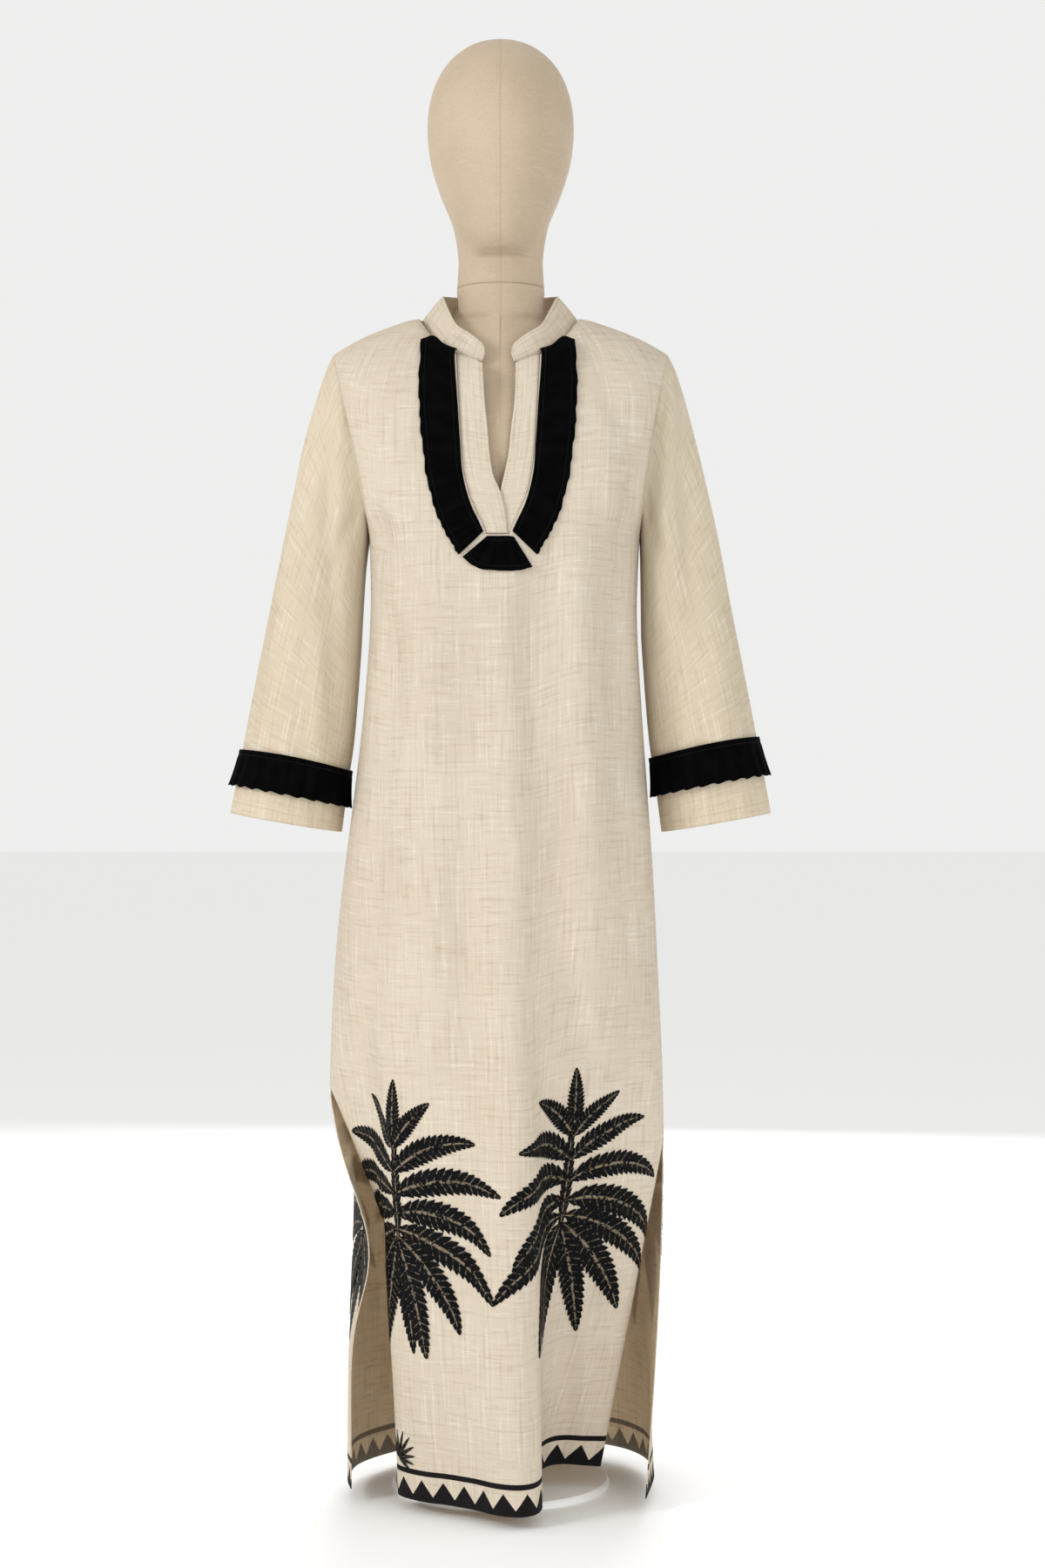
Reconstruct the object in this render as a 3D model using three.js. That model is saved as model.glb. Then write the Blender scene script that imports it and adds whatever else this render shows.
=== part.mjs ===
// A long linen kaftan hanging on a limbless dress form with a plain egg-shaped head.
// Millimetres, +Z up, the front faces -Y and the viewer's right is +X. The origin is the middle of the base's underside.
import * as THREE from "three";

// Driving dimensions of the garment
const WALL = 1.5; // cloth wall, with its woven relief
const SEAM = 0.3; // space between two sewn pieces
const LIFT = 0.8; // space between the cloth and what is laid on it
const SHOULDER_HALF = 191; // middle to the shoulder point
const SHOULDER_Y = 4;
const CHEST_Z = 1225; // the height where the rounded shoulder becomes the straight front
const NECK_X = -2.3; // the neck opening sits a little to the viewer's left
const PLACKET_Z = 1084; // bottom of the U that is cut for the placket
const SLIT_LEFT = 460;
const SLIT_RIGHT = 400;
const HEM = 15;
const TRIM_TOTAL = 3.2; // pleated ribbon, from its back to a pleat's edge
const SIDE_PLEATS = 14; // a pleat every 16 or 17 mm of the ribbon
const BOTTOM_PLEATS = 5;
const CUFF_PLEATS = 24;
const CUFF_FLARE = 4.5; // how far the frill's free edge stands off the sleeve

// Driving dimensions of the form
const POLE_RADIUS = 12;
const BASE_RADIUS = 125;
const BASE_HEIGHT = 8;
const BASE_Y = 15;
const TORSO_BOTTOM = 700;
const NECK_SEAM_Z = 1374;

// Columns and rows of the cloth grids
const FRONT_COLUMNS = 28;
const BACK_COLUMNS = 20;
const SHOULDER_ROWS = 5;
const CHEST_ROWS = 5;
const ARMHOLE_ROWS = SHOULDER_ROWS + CHEST_ROWS;
const SKIRT_ROWS = 13;
const NECK_COLUMNS = 2; // from the middle of the front to the cut of the U

// Cross-sections of the worn body, from the chest to the hem
const BODY = [
  { z: 1225, left: 175, right: 176, front: 104, back: 90, edge: 46 },
  { z: 1160, left: 160, right: 166, front: 113, back: 94, edge: 48 },
  { z: 1115, left: 153, right: 161, front: 115, back: 94, edge: 36 },
  { z: 1085, left: 150, right: 159, front: 115, back: 94, edge: 0 },
  { z: 1000, left: 149, right: 156, front: 117, back: 95, edge: 0 },
  { z: 900, left: 156, right: 161, front: 121, back: 98, edge: 0 },
  { z: 800, left: 167, right: 168, front: 126, back: 104, edge: 0 },
  { z: 700, left: 180, right: 175, front: 132, back: 111, edge: 0 },
  { z: 600, left: 190, right: 180, front: 138, back: 118, edge: 0 },
  { z: 460, left: 196, right: 186, front: 144, back: 126, edge: 0 },
  { z: 15, left: 198, right: 188, front: 150, back: 140, edge: 0 },
];

// Half width of the U in the front, and of the grid's neck columns below it
const NECK_CUT = [
  { z: 1289, half: 46.8 },
  { z: 1208, half: 42.6 },
  { z: 1167, half: 39.7 },
  { z: 1132, half: 33.0 },
  { z: 1107, half: 22.5 },
  { z: 1084, half: 13.0 },
  { z: 1030, half: 21.0 },
  { z: 960, half: 36.0 },
  { z: 880, half: 38.0 },
  { z: 15, half: 40.0 },
];

// Top edge of the front: the collar's seam, then the shoulder's
const FRONT_TOP = [
  { x: 46.8, y: -75, z: 1289 },
  { x: 62, y: -60, z: 1300 },
  { x: 76, y: -38, z: 1315 },
  { x: 86, y: -14, z: 1331 },
  { x: 90, y: 4, z: 1340 },
  { x: 125, y: 4, z: 1331 },
  { x: 160, y: 4, z: 1317 },
  { x: 191, y: 4, z: 1300 },
];

// Top edge of the back
const BACK_TOP = [
  { x: 0, y: 68, z: 1343 },
  { x: 40, y: 60, z: 1343 },
  { x: 68, y: 42, z: 1342 },
  { x: 84, y: 20, z: 1341 },
  { x: 90, y: 4, z: 1340 },
  { x: 125, y: 4, z: 1331 },
  { x: 160, y: 4, z: 1317 },
  { x: 191, y: 4, z: 1300 },
];

// How the front's hem hangs in plan: rolled under at the left, one deep S-fold right of the middle
const FRONT_HEM = [
  { c: -1.0, x: -58, y: -52, z: 24 },
  { c: -0.92, x: -94, y: -60, z: 20 },
  { c: -0.82, x: -114, y: -84, z: 16 },
  { c: -0.66, x: -101, y: -111, z: 15 },
  { c: -0.42, x: -58, y: -137, z: 15 },
  { c: -0.2, x: -20, y: -172, z: 15 },
  { c: 0.0, x: 18, y: -191, z: 15 },
  { c: 0.11, x: 39, y: -180, z: 15 },
  { c: 0.2, x: 47, y: -154, z: 17 },
  { c: 0.3, x: 42, y: -112, z: 22 },
  { c: 0.42, x: 38, y: -68, z: 28 },
  { c: 0.56, x: 52, y: -35, z: 33 },
  { c: 0.76, x: 80, y: -30, z: 34 },
  { c: 1.0, x: 110, y: -40, z: 33 },
];

// How the back's hem hangs: it wraps forward round both sides of the slits
const BACK_HEM = [
  { c: -1.0, x: -168, y: -72, z: 16 },
  { c: -0.86, x: -174, y: -26, z: 16 },
  { c: -0.66, x: -166, y: 44, z: 16 },
  { c: -0.44, x: -124, y: 104, z: 16 },
  { c: -0.22, x: -60, y: 130, z: 17 },
  { c: 0.0, x: 2, y: 146, z: 17 },
  { c: 0.22, x: 64, y: 154, z: 16 },
  { c: 0.44, x: 128, y: 138, z: 16 },
  { c: 0.66, x: 168, y: 80, z: 16 },
  { c: 0.86, x: 176, y: -8, z: 16 },
  { c: 1.0, x: 162, y: -116, z: 16 },
];

// Inner edges of the two placket bands; the left one laps over the right at the bottom
const PLACKET = [
  { z: 1274, left: -19.5, right: 17.2 },
  { z: 1236, left: -17.2, right: 16.3 },
  { z: 1202, left: -13.8, right: 12.4 },
  { z: 1174, left: -11.4, right: 9.5 },
  { z: 1150, left: -7.6, right: 4.7 },
  { z: 1131, left: 0.4, right: 0.4 },
  { z: 1108, left: 6.0, right: -2.0 },
  { z: 1085.5, left: 8.5, right: -5.5 },
];

// Rungs across the pleated ribbon, from the U's edge to the ribbon's outer edge
const SIDE_RIBBON = [
  { inner_x: 49, inner_z: 1291, outer_x: 86, outer_z: 1299 },
  { inner_x: 45, inner_z: 1236, outer_x: 87.2, outer_z: 1240 },
  { inner_x: 42, inner_z: 1190, outer_x: 84, outer_z: 1192 },
  { inner_x: 39, inner_z: 1152, outer_x: 77, outer_z: 1142 },
  { inner_x: 31, inner_z: 1120, outer_x: 66, outer_z: 1104 },
  { inner_x: 21, inner_z: 1098, outer_x: 54, outer_z: 1080 },
  { inner_x: 16, inner_z: 1087, outer_x: 43, outer_z: 1061 },
];
const BOTTOM_RIBBON = [
  { inner_x: -14, inner_z: 1081.5, outer_x: -41.5, outer_z: 1058 },
  { inner_x: -8, inner_z: 1081.5, outer_x: -24, outer_z: 1046 },
  { inner_x: 1, inner_z: 1081.5, outer_x: 1, outer_z: 1043 },
  { inner_x: 10, inner_z: 1081.5, outer_x: 22, outer_z: 1043.5 },
  { inner_x: 15.5, inner_z: 1080.5, outer_x: 36, outer_z: 1047.5 },
];

// The stand collar, from its rounded front end to the middle of the back
const COLLAR = [
  { low_x: 17.5, low_y: -80.5, low_z: 1279.5, top_x: 14.5, top_y: -79, top_z: 1289 },
  { low_x: 24, low_y: -80, low_z: 1281, top_x: 17.5, top_y: -78, top_z: 1300 },
  { low_x: 46, low_y: -74, low_z: 1290.5, top_x: 33, top_y: -75, top_z: 1313 },
  { low_x: 62, low_y: -60, low_z: 1301.5, top_x: 48, top_y: -65, top_z: 1324 },
  { low_x: 76, low_y: -38, low_z: 1316.5, top_x: 58, top_y: -42, top_z: 1345 },
  { low_x: 86, low_y: -12, low_z: 1333, top_x: 64.5, top_y: -8, top_z: 1364 },
  { low_x: 86, low_y: 14, low_z: 1343, top_x: 65, top_y: 22, top_z: 1370 },
  { low_x: 66, low_y: 43, low_z: 1344.5, top_x: 50, top_y: 46, top_z: 1373 },
  { low_x: 36, low_y: 60, low_z: 1345, top_x: 27, top_y: 59, top_z: 1374 },
  { low_x: 0, low_y: 67, low_z: 1345, top_x: 0, top_y: 64, top_z: 1374 },
];

// Rings down the sleeve, each from its outer to its inner side
const SLEEVE = [
  { outer_x: 191, outer_z: 1300, inner_x: 150, inner_z: 1085, depth: 47, y: 2, free: 0 },
  { outer_x: 207, outer_z: 1270, inner_x: 153, inner_z: 1066, depth: 50, y: 2, free: 0.45 },
  { outer_x: 217, outer_z: 1232, inner_x: 155.5, inner_z: 1042, depth: 53, y: 3, free: 0.85 },
  { outer_x: 232, outer_z: 1166, inner_x: 158, inner_z: 1000, depth: 56, y: 4, free: 1 },
  { outer_x: 249, outer_z: 1088, inner_x: 161, inner_z: 950, depth: 58, y: 6, free: 1 },
  { outer_x: 279, outer_z: 940, inner_x: 168, inner_z: 862, depth: 62, y: 8, free: 1 },
  { outer_x: 295, outer_z: 858, inner_x: 176, inner_z: 806, depth: 64, y: 9, free: 1 },
  { outer_x: 311, outer_z: 774, inner_x: 183, inner_z: 752, depth: 66, y: 10, free: 1 },
];

// The form's bust, from the neck's seam down
const TORSO = [
  { z: NECK_SEAM_Z, half: 50, front: 50, back: 50, round: 2 },
  { z: 1346, half: 53, front: 52, back: 52, round: 2 },
  { z: 1334, half: 72, front: 53, back: 53, round: 1.35 },
  { z: 1319, half: 128, front: 56, back: 57, round: 1.2 },
  { z: 1302, half: 156, front: 62, back: 62, round: 1.45 },
  { z: 1274, half: 163, front: 76, back: 72, round: 1.85 },
  { z: 1235, half: 160, front: 92, back: 80, round: 2 },
  { z: 1180, half: 147, front: 104, back: 84, round: 2 },
  { z: 1100, half: 133, front: 98, back: 80, round: 2 },
  { z: 1000, half: 114, front: 84, back: 72, round: 2 },
  { z: 900, half: 126, front: 90, back: 82, round: 2 },
  { z: 800, half: 141, front: 98, back: 90, round: 2 },
  { z: TORSO_BOTTOM, half: 138, front: 92, back: 84, round: 2 },
];

// The egg-shaped head with its plain chin, from the neck's seam up
const HEAD = [
  { z: NECK_SEAM_Z + SEAM, half: 50, front: 50, back: 50 },
  { z: 1400, half: 48.5, front: 50, back: 51 },
  { z: 1407, half: 48.5, front: 60, back: 53 },
  { z: 1413, half: 49, front: 73, back: 56 },
  { z: 1426, half: 50.5, front: 84, back: 62 },
  { z: 1450, half: 56, front: 91, back: 74 },
  { z: 1482, half: 69, front: 96, back: 90 },
  { z: 1520, half: 80.5, front: 99, back: 101 },
  { z: 1560, half: 84, front: 98, back: 105 },
  { z: 1596, half: 79, front: 89, back: 98 },
  { z: 1626, half: 65, front: 71, back: 80 },
  { z: 1647, half: 43, front: 46, back: 52 },
  { z: 1657, half: 19, front: 20, back: 22 },
];
const HEAD_TOP = 1659;

// Small maths
const mix = (a, b, t) => a + (b - a) * t;
const clamp = (t) => Math.min(1, Math.max(0, t));
const ease = (t) => clamp(t) ** 2 * (3 - 2 * clamp(t));

// A smooth value between the rows of a table, by Catmull-Rom tangents on uneven steps
function along(rows, key, value, at) {
  const sign = rows[rows.length - 1][at] > rows[0][at] ? 1 : -1;
  let i = 0;
  while (i < rows.length - 2 && sign * (value - rows[i + 1][at]) > 0) i += 1;
  const a = rows[i];
  const b = rows[i + 1];
  const span = b[at] - a[at];
  const t = clamp((value - a[at]) / span);
  const slope = (p, q) => (q[key] - p[key]) / (q[at] - p[at]);
  const before = i > 0 ? slope(rows[i - 1], b) : slope(a, b);
  const after = i < rows.length - 2 ? slope(a, rows[i + 2]) : slope(a, b);
  const h = t * t * (3 - 2 * t);
  const bend = t * (1 - t) * ((1 - t) * before - t * after) * span;
  return a[key] * (1 - h) + b[key] * h + bend;
}

// A table read by its row number, for strips and rings
function rung(rows, key, t) {
  const place = clamp(t) * (rows.length - 1);
  const numbered = rows.map((row, n) => ({ n, v: row[key] }));
  return along(numbered, "v", place, "n");
}

// How far a column has moved from the worn section to the hem's plan at a height
function hang(column, z, side) {
  const edge = Math.abs(column) ** 3;
  const slitTop = (column < 0 ? SLIT_LEFT : SLIT_RIGHT) - (side === "back" ? 15 : 0);
  const start = mix(side === "front" ? 800 : 640, slitTop, edge);
  const t = clamp((start - z) / (start - HEM));
  const loose = t ** 1.35;
  const quick = column < 0 ? 1 - (1 - t) ** (side === "front" ? 1.5 : 2.6) : t;
  const free = ease((Math.abs(column) - 0.45) / 0.5);
  return side === "back" && column > 0 ? mix(loose, t ** 1.6, free) : mix(loose, quick, free);
}

// The worn section at a height: a rounded oval from side seam to side seam
function section(column, z, side) {
  const half = along(BODY, column < 0 ? "left" : "right", z, "z");
  const deep = along(BODY, side, z, "z");
  const edge = Math.max(0, along(BODY, "edge", z, "z"));
  const round = mix(2.0, 2.5, clamp((z - 500) / 500));
  const y = edge + (deep - edge) * Math.max(0, 1 - Math.abs(column) ** round) ** (1 / round);
  return { x: half * column, y: side === "front" ? -y : y + SEAM };
}

// Slides the grid's columns so that two of them follow the U's edge
const NECK_COLUMN = Math.sin((NECK_COLUMNS * Math.PI) / FRONT_COLUMNS);
function slide(column, z, half) {
  const reach = along(NECK_CUT, "half", z, "z") / half;
  const c = Math.abs(column);
  const moved =
    c < NECK_COLUMN
      ? (c * reach) / NECK_COLUMN
      : reach + ((c - NECK_COLUMN) * (1 - reach)) / (1 - NECK_COLUMN);
  return Math.sign(column) * moved;
}

// One point of the front or back: angle runs from -90 at the left seam to 90 at the right,
// level from 0 at the top edge, past 1 at the chest, to 2 at the hem
function panelPoint(side, angle, level) {
  const raw = Math.sin(angle);
  const front = side === "front";
  const hem = front ? FRONT_HEM : BACK_HEM;
  const hemZ = along(hem, "z", raw, "c");
  if (level <= 1) {
    const bend = (level * Math.PI) / 2;
    const column = front ? slide(raw, CHEST_Z, along(BODY, "left", CHEST_Z, "z")) : raw;
    const topColumn = front ? slide(raw, FRONT_TOP[0].z, SHOULDER_HALF) : raw;
    const top = front ? FRONT_TOP : BACK_TOP;
    const topX = SHOULDER_HALF * topColumn;
    const reach = Math.max(Math.abs(topX), top[0].x);
    const line = along(top, "y", reach, "x");
    const topY = front ? Math.min(SHOULDER_Y, line) : Math.max(SHOULDER_Y, line) + SEAM;
    const topZ = along(top, "z", reach, "x");
    const low = section(column, CHEST_Z, side);
    return new THREE.Vector3(
      mix(topX, low.x, 1 - Math.cos(bend)) + (front ? NECK_X * (1 - raw ** 2) : 0),
      mix(topY, low.y, Math.sin(bend)),
      mix(topZ, CHEST_Z, 1 - Math.cos(bend)),
    );
  }
  const z = mix(CHEST_Z, hemZ, level - 1);
  const half = along(BODY, raw < 0 ? "left" : "right", z, "z");
  const column = front ? slide(raw, z, half) : raw;
  const worn = section(column, z, side);
  const w = hang(raw, z, side);
  let x = mix(worn.x, along(hem, "x", raw, "c"), w);
  let y = mix(worn.y, along(hem, "y", raw, "c"), w);
  if (front) x += NECK_X * (1 - raw ** 2) * clamp((z - 800) / 200);
  // The back's free edge at the left slit swings forward most a third of the way up
  if (!front && raw < 0) {
    const swing = Math.exp(-(((z - 290) / 80) ** 2)) * ease((-raw - 0.8) / 0.2);
    x += 30 * swing;
    y -= 42 * swing;
  }
  return new THREE.Vector3(x, y, z);
}

// The level at which a front or back column reaches a height
function levelAt(side, angle, z) {
  let low = 0;
  let high = 2;
  for (let k = 0; k < 26; k += 1) {
    const middle = (low + high) / 2;
    if (panelPoint(side, angle, middle).z > z) low = middle;
    else high = middle;
  }
  return (low + high) / 2;
}

// The front's surface at a place seen from the front, moved out of the cloth
function onFront(x, z, out) {
  let angle = x / 170;
  let level = 1;
  for (let k = 0; k < 8; k += 1) {
    level = levelAt("front", angle, z);
    const here = panelPoint("front", angle, level).x;
    const beside = panelPoint("front", angle + 0.01, level).x;
    angle += ((x - here) * 0.01) / (beside - here);
  }
  const point = panelPoint("front", angle, level);
  return point.addScaledVector(normalOf((a, b) => panelPoint("front", a, b), angle, level), out);
}

// The outward normal of a surface given as a function of two numbers
function normalOf(surface, a, b, step = 0.002) {
  const dirA = surface(a + step, b).sub(surface(a - step, b));
  const dirB = surface(a, b + step).sub(surface(a, b - step));
  return dirB.cross(dirA).normalize();
}

// A closed wall from two grids of points, its outer and inner faces, with chosen cells left out
function wall(outer, inner, keep, wraps) {
  const rows = outer.length - 1;
  const columns = outer[0].length - (wraps ? 0 : 1);
  const width = outer[0].length;
  const positions = [];
  const quad = (p, q, r, s) => [p, q, r, p, r, s].forEach((v) => positions.push(v.x, v.y, v.z));
  const kept = (i, j) => {
    if (i < 0 || i >= rows) return false;
    const column = wraps ? (j + columns) % columns : j;
    return column >= 0 && column < columns && keep(i, column);
  };
  for (let i = 0; i < rows; i += 1) {
    for (let j = 0; j < columns; j += 1) {
      if (!kept(i, j)) continue;
      const n = (j + 1) % width;
      const [a, b, c, d] = [outer[i][j], outer[i][n], outer[i + 1][n], outer[i + 1][j]];
      const [e, f, g, h] = [inner[i][j], inner[i][n], inner[i + 1][n], inner[i + 1][j]];
      quad(a, d, c, b);
      quad(e, f, g, h);
      if (!kept(i - 1, j)) quad(a, b, f, e);
      if (!kept(i + 1, j)) quad(c, d, h, g);
      if (!kept(i, j - 1)) quad(d, a, e, h);
      if (!kept(i, j + 1)) quad(b, c, g, f);
    }
  }
  return facingOut(positions);
}

// Turns a closed triangle soup the right way round by the sign of its volume
function facingOut(positions) {
  let volume = 0;
  const p = new THREE.Vector3();
  const q = new THREE.Vector3();
  const r = new THREE.Vector3();
  for (let k = 0; k < positions.length; k += 9) {
    p.fromArray(positions, k);
    q.fromArray(positions, k + 3);
    r.fromArray(positions, k + 6);
    volume += p.dot(q.cross(r));
  }
  if (volume < 0) {
    for (let k = 0; k < positions.length; k += 9) {
      const kept = positions.slice(k + 3, k + 6);
      for (let m = 0; m < 3; m += 1) {
        positions[k + 3 + m] = positions[k + 6 + m];
        positions[k + 6 + m] = kept[m];
      }
    }
  }
  const geometry = new THREE.BufferGeometry();
  geometry.setAttribute("position", new THREE.Float32BufferAttribute(positions, 3));
  geometry.computeVertexNormals();
  return geometry;
}

// Fills two grids from a function of a column and a row that gives an outer and an inner point
function grids(columns, rows, pair) {
  const outer = [];
  const inner = [];
  for (let i = 0; i <= rows; i += 1) {
    const line = Array.from({ length: columns }, (_, j) => pair(j, i));
    outer.push(line.map((two) => two[0]));
    inner.push(line.map((two) => two[1]));
  }
  return [outer, inner];
}

// Levels of the grid rows, with the underarm and the U's bottom on rows of their own
function levelOfRow(side, angle, row) {
  if (row <= SHOULDER_ROWS) return row / SHOULDER_ROWS;
  const belowChest = levelAt(side, angle, PLACKET_Z);
  if (row <= SHOULDER_ROWS + CHEST_ROWS) return mix(1, belowChest, (row - SHOULDER_ROWS) / CHEST_ROWS);
  const t = (row - SHOULDER_ROWS - CHEST_ROWS) / SKIRT_ROWS;
  return mix(belowChest, 2, t);
}

function panel(side, columns, keep) {
  const rows = SHOULDER_ROWS + CHEST_ROWS + SKIRT_ROWS;
  const surface = (a, b) => panelPoint(side, a, b);
  const turn = side === "front" ? 1 : -1;
  const [outer, inner] = grids(columns + 1, rows, (j, i) => {
    const angle = (j / columns - 0.5) * Math.PI;
    const level = levelOfRow(side, angle, i);
    const safeAngle = Math.sign(angle) * Math.min(Math.abs(angle), Math.PI / 2 - 0.03);
    const safeLevel = Math.min(1.997, Math.max(0.003, level));
    const point = surface(angle, level);
    const normal = normalOf(surface, safeAngle, safeLevel).multiplyScalar(turn);
    const slitTop = angle < 0 ? SLIT_LEFT : SLIT_RIGHT;
    const onSide = (j === 0 || j === columns) && point.z > slitTop - 60;
    // A sewn edge ends square, so that its neighbour lies right beside it
    if (onSide || i === 0) normal.setY(0).normalize();
    return [point, point.clone().addScaledVector(normal, -WALL)];
  });
  return wall(outer, inner, keep, false);
}

function frontPanel() {
  const first = FRONT_COLUMNS / 2 - NECK_COLUMNS;
  const last = FRONT_COLUMNS / 2 + NECK_COLUMNS;
  const cut = ARMHOLE_ROWS;
  return panel("front", FRONT_COLUMNS, (i, j) => i >= cut || j < first || j >= last);
}

function backPanel() {
  return panel("back", BACK_COLUMNS, () => true);
}

// One point of a sleeve; side is -1 or 1, turn runs once round from the shoulder point by the front
function sleevePoint(side, turn, down) {
  const value = (key) => rung(SLEEVE, key, down);
  const swing = Math.cos(turn);
  const middleX = (value("outer_x") + value("inner_x")) / 2;
  const middleZ = (value("outer_z") + value("inner_z")) / 2;
  const halfX = (value("outer_x") - value("inner_x")) / 2;
  const halfZ = (value("outer_z") - value("inner_z")) / 2;
  const free = clamp(value("free"));
  const extra = side > 0 ? mix(9, 2, clamp(down * 2)) : 0;
  const oval = new THREE.Vector3(
    side * (middleX + halfX * swing + extra * clamp((1 - swing) / 2)),
    value("y") - value("depth") * Math.sin(turn),
    middleZ + halfZ * swing,
  );
  if (free >= 1) return oval;
  const panelSide = Math.sin(turn) >= 0 ? "front" : "back";
  const angle = (side * Math.PI) / 2;
  const row = (ARMHOLE_ROWS * (Math.PI - Math.abs(Math.PI - turn))) / Math.PI;
  const seam = panelPoint(panelSide, angle, levelOfRow(panelSide, angle, row));
  seam.x += side * (SEAM + 0.7);
  return seam.lerp(oval, free);
}

// The sleeve's outward normal, which always points away from the middle of its ring
function sleeveNormal(side, turn, down) {
  const safe = Math.min(0.99, Math.max(0.07, down));
  const normal = normalOf((a, b) => sleevePoint(side, a, b), turn, safe, 0.01);
  const middle = sleevePoint(side, 0, safe).lerp(sleevePoint(side, Math.PI, safe), 0.5);
  const away = sleevePoint(side, turn, safe).sub(middle);
  return normal.dot(away) < 0 ? normal.negate() : normal;
}

const SLEEVE_TURNS = 2 * ARMHOLE_ROWS;
const SLEEVE_ROWS = 11;
function sleeve(side) {
  const [outer, inner] = grids(SLEEVE_TURNS, SLEEVE_ROWS, (j, i) => {
    const turn = (j / SLEEVE_TURNS) * 2 * Math.PI;
    const down = i / SLEEVE_ROWS;
    const point = sleevePoint(side, turn, down);
    return [point, point.clone().addScaledVector(sleeveNormal(side, turn, down), -WALL)];
  });
  return wall(outer, inner, () => true, true);
}

// The frill above a cuff: a pleated ribbon sewn on along its upper edge
const FRILLS = {
  left: { top: [0.812, 0.877], bottom: [0.921, 0.944] },
  right: { top: [0.772, 0.852], bottom: [0.889, 0.925] },
};
const FRILL_POINTS = 2;
const FRILL_ROWS = 2;
function cuffTrim(side) {
  const frill = side < 0 ? FRILLS.left : FRILLS.right;
  const around = CUFF_PLEATS * FRILL_POINTS;
  const [outer, inner] = grids(around, FRILL_ROWS, (j, i) => {
    const turn = (j / around) * 2 * Math.PI;
    const t = i / FRILL_ROWS;
    const fold = (j % FRILL_POINTS) / FRILL_POINTS;
    const outside = (1 + Math.cos(turn)) / 2;
    const top = mix(...frill.top, outside);
    const bottom = mix(...frill.bottom, outside);
    const down = mix(top, bottom + 0.004 * fold, t);
    const normal = sleeveNormal(side, turn, down);
    const off = LIFT + CUFF_FLARE * t * t + 2.6 * fold * Math.sqrt(t);
    const point = sleevePoint(side, turn, down);
    return [
      point.clone().addScaledVector(normal, off + WALL),
      point.clone().addScaledVector(normal, off),
    ];
  });
  return wall(outer, inner, () => true, true);
}

// A stretch of the neck's pleated ribbon, laid on the front from its rungs
function neckTrim(rows, side, pleats) {
  const steps = pleats * 2;
  const place = (key, t) => rung(rows, key, t);
  const [outer, inner] = grids(steps + 1, 3, (j, i) => {
    const across = [0, 0.12, 0.88, 1][i];
    const t = j / steps;
    const stands = (j % 2) * (TRIM_TOTAL - WALL) * (i === 0 ? 0.4 : 1);
    const step = i === 3 ? (j % 2) * 1.6 : 0;
    const innerX = side ? NECK_X + side * place("inner_x", t) : place("inner_x", t);
    const outerX = side ? NECK_X + side * place("outer_x", t) : place("outer_x", t);
    const x = mix(innerX, outerX, across);
    const z = mix(place("inner_z", t), place("outer_z", t), across) - step * 0.4;
    const lift = LIFT + (side ? 3.2 * (1 - t) ** 6 : 0);
    return [onFront(x + side * step, z, lift + WALL + stands), onFront(x + side * step, z, lift)];
  });
  return wall(outer, inner, () => true, false);
}

// A placket band: from the U's edge to its own inner edge
const BAND_TOP = 1277; // the collar's seam at a band's inner edge
const BAND_COLUMNS = 3;
function placketBand(side) {
  const key = side < 0 ? "left" : "right";
  const cutAngle = side * Math.asin(NECK_COLUMN);
  const bottom = PLACKET_Z + 2 * SEAM;
  const [outer, inner] = grids(BAND_COLUMNS + 1, ARMHOLE_ROWS, (j, i) => {
    const across = j / BAND_COLUMNS;
    const cut = panelPoint("front", cutAngle, levelOfRow("front", cutAngle, i));
    const down = (NECK_CUT[0].z - cut.z) / (NECK_CUT[0].z - PLACKET_Z);
    const z = mix(Math.max(cut.z, bottom), mix(BAND_TOP, bottom, down), across);
    const x = mix(cut.x - side * 3 * SEAM, along(PLACKET, key, z, "z"), across);
    const lap = ease((1150 - z) / 25) * clamp(across * BAND_COLUMNS) * (side < 0 ? 1.2 : -1.6);
    return [onFront(x, z, lap), onFront(x, z, lap - WALL)];
  });
  return wall(outer, inner, () => true, false);
}

// The stand collar: one band round the neck, open at the front
const COLLAR_STEPS = 30;
const COLLAR_ROWS = 2;
function collarPoint(t, up) {
  const side = t < 0.5 ? -1 : 1;
  const back = 1 - Math.abs(2 * t - 1);
  const value = (key) => mix(rung(COLLAR, "low_" + key, back), rung(COLLAR, "top_" + key, back), up);
  return new THREE.Vector3(
    NECK_X * ease(1 - back) + side * value("x"),
    value("y"),
    value("z") + SEAM + 0.6 * (1 - up),
  );
}

function collar() {
  const surface = (a, b) => collarPoint(a, b);
  const [outer, inner] = grids(COLLAR_STEPS + 1, COLLAR_ROWS, (j, i) => {
    const t = j / COLLAR_STEPS;
    const up = 1 - i / COLLAR_ROWS;
    const safe = Math.min(0.985, Math.max(0.015, t));
    const steady = Math.abs(safe - 0.5) < 0.01 ? 0.49 : safe;
    const normal = normalOf(surface, steady, 1 - up, 0.01);
    const point = surface(t, up);
    if (normal.x * point.x + normal.y * point.y < 0) normal.negate();
    return [point, point.clone().addScaledVector(normal, -WALL)];
  });
  return wall(outer, inner, () => true, false);
}

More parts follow.
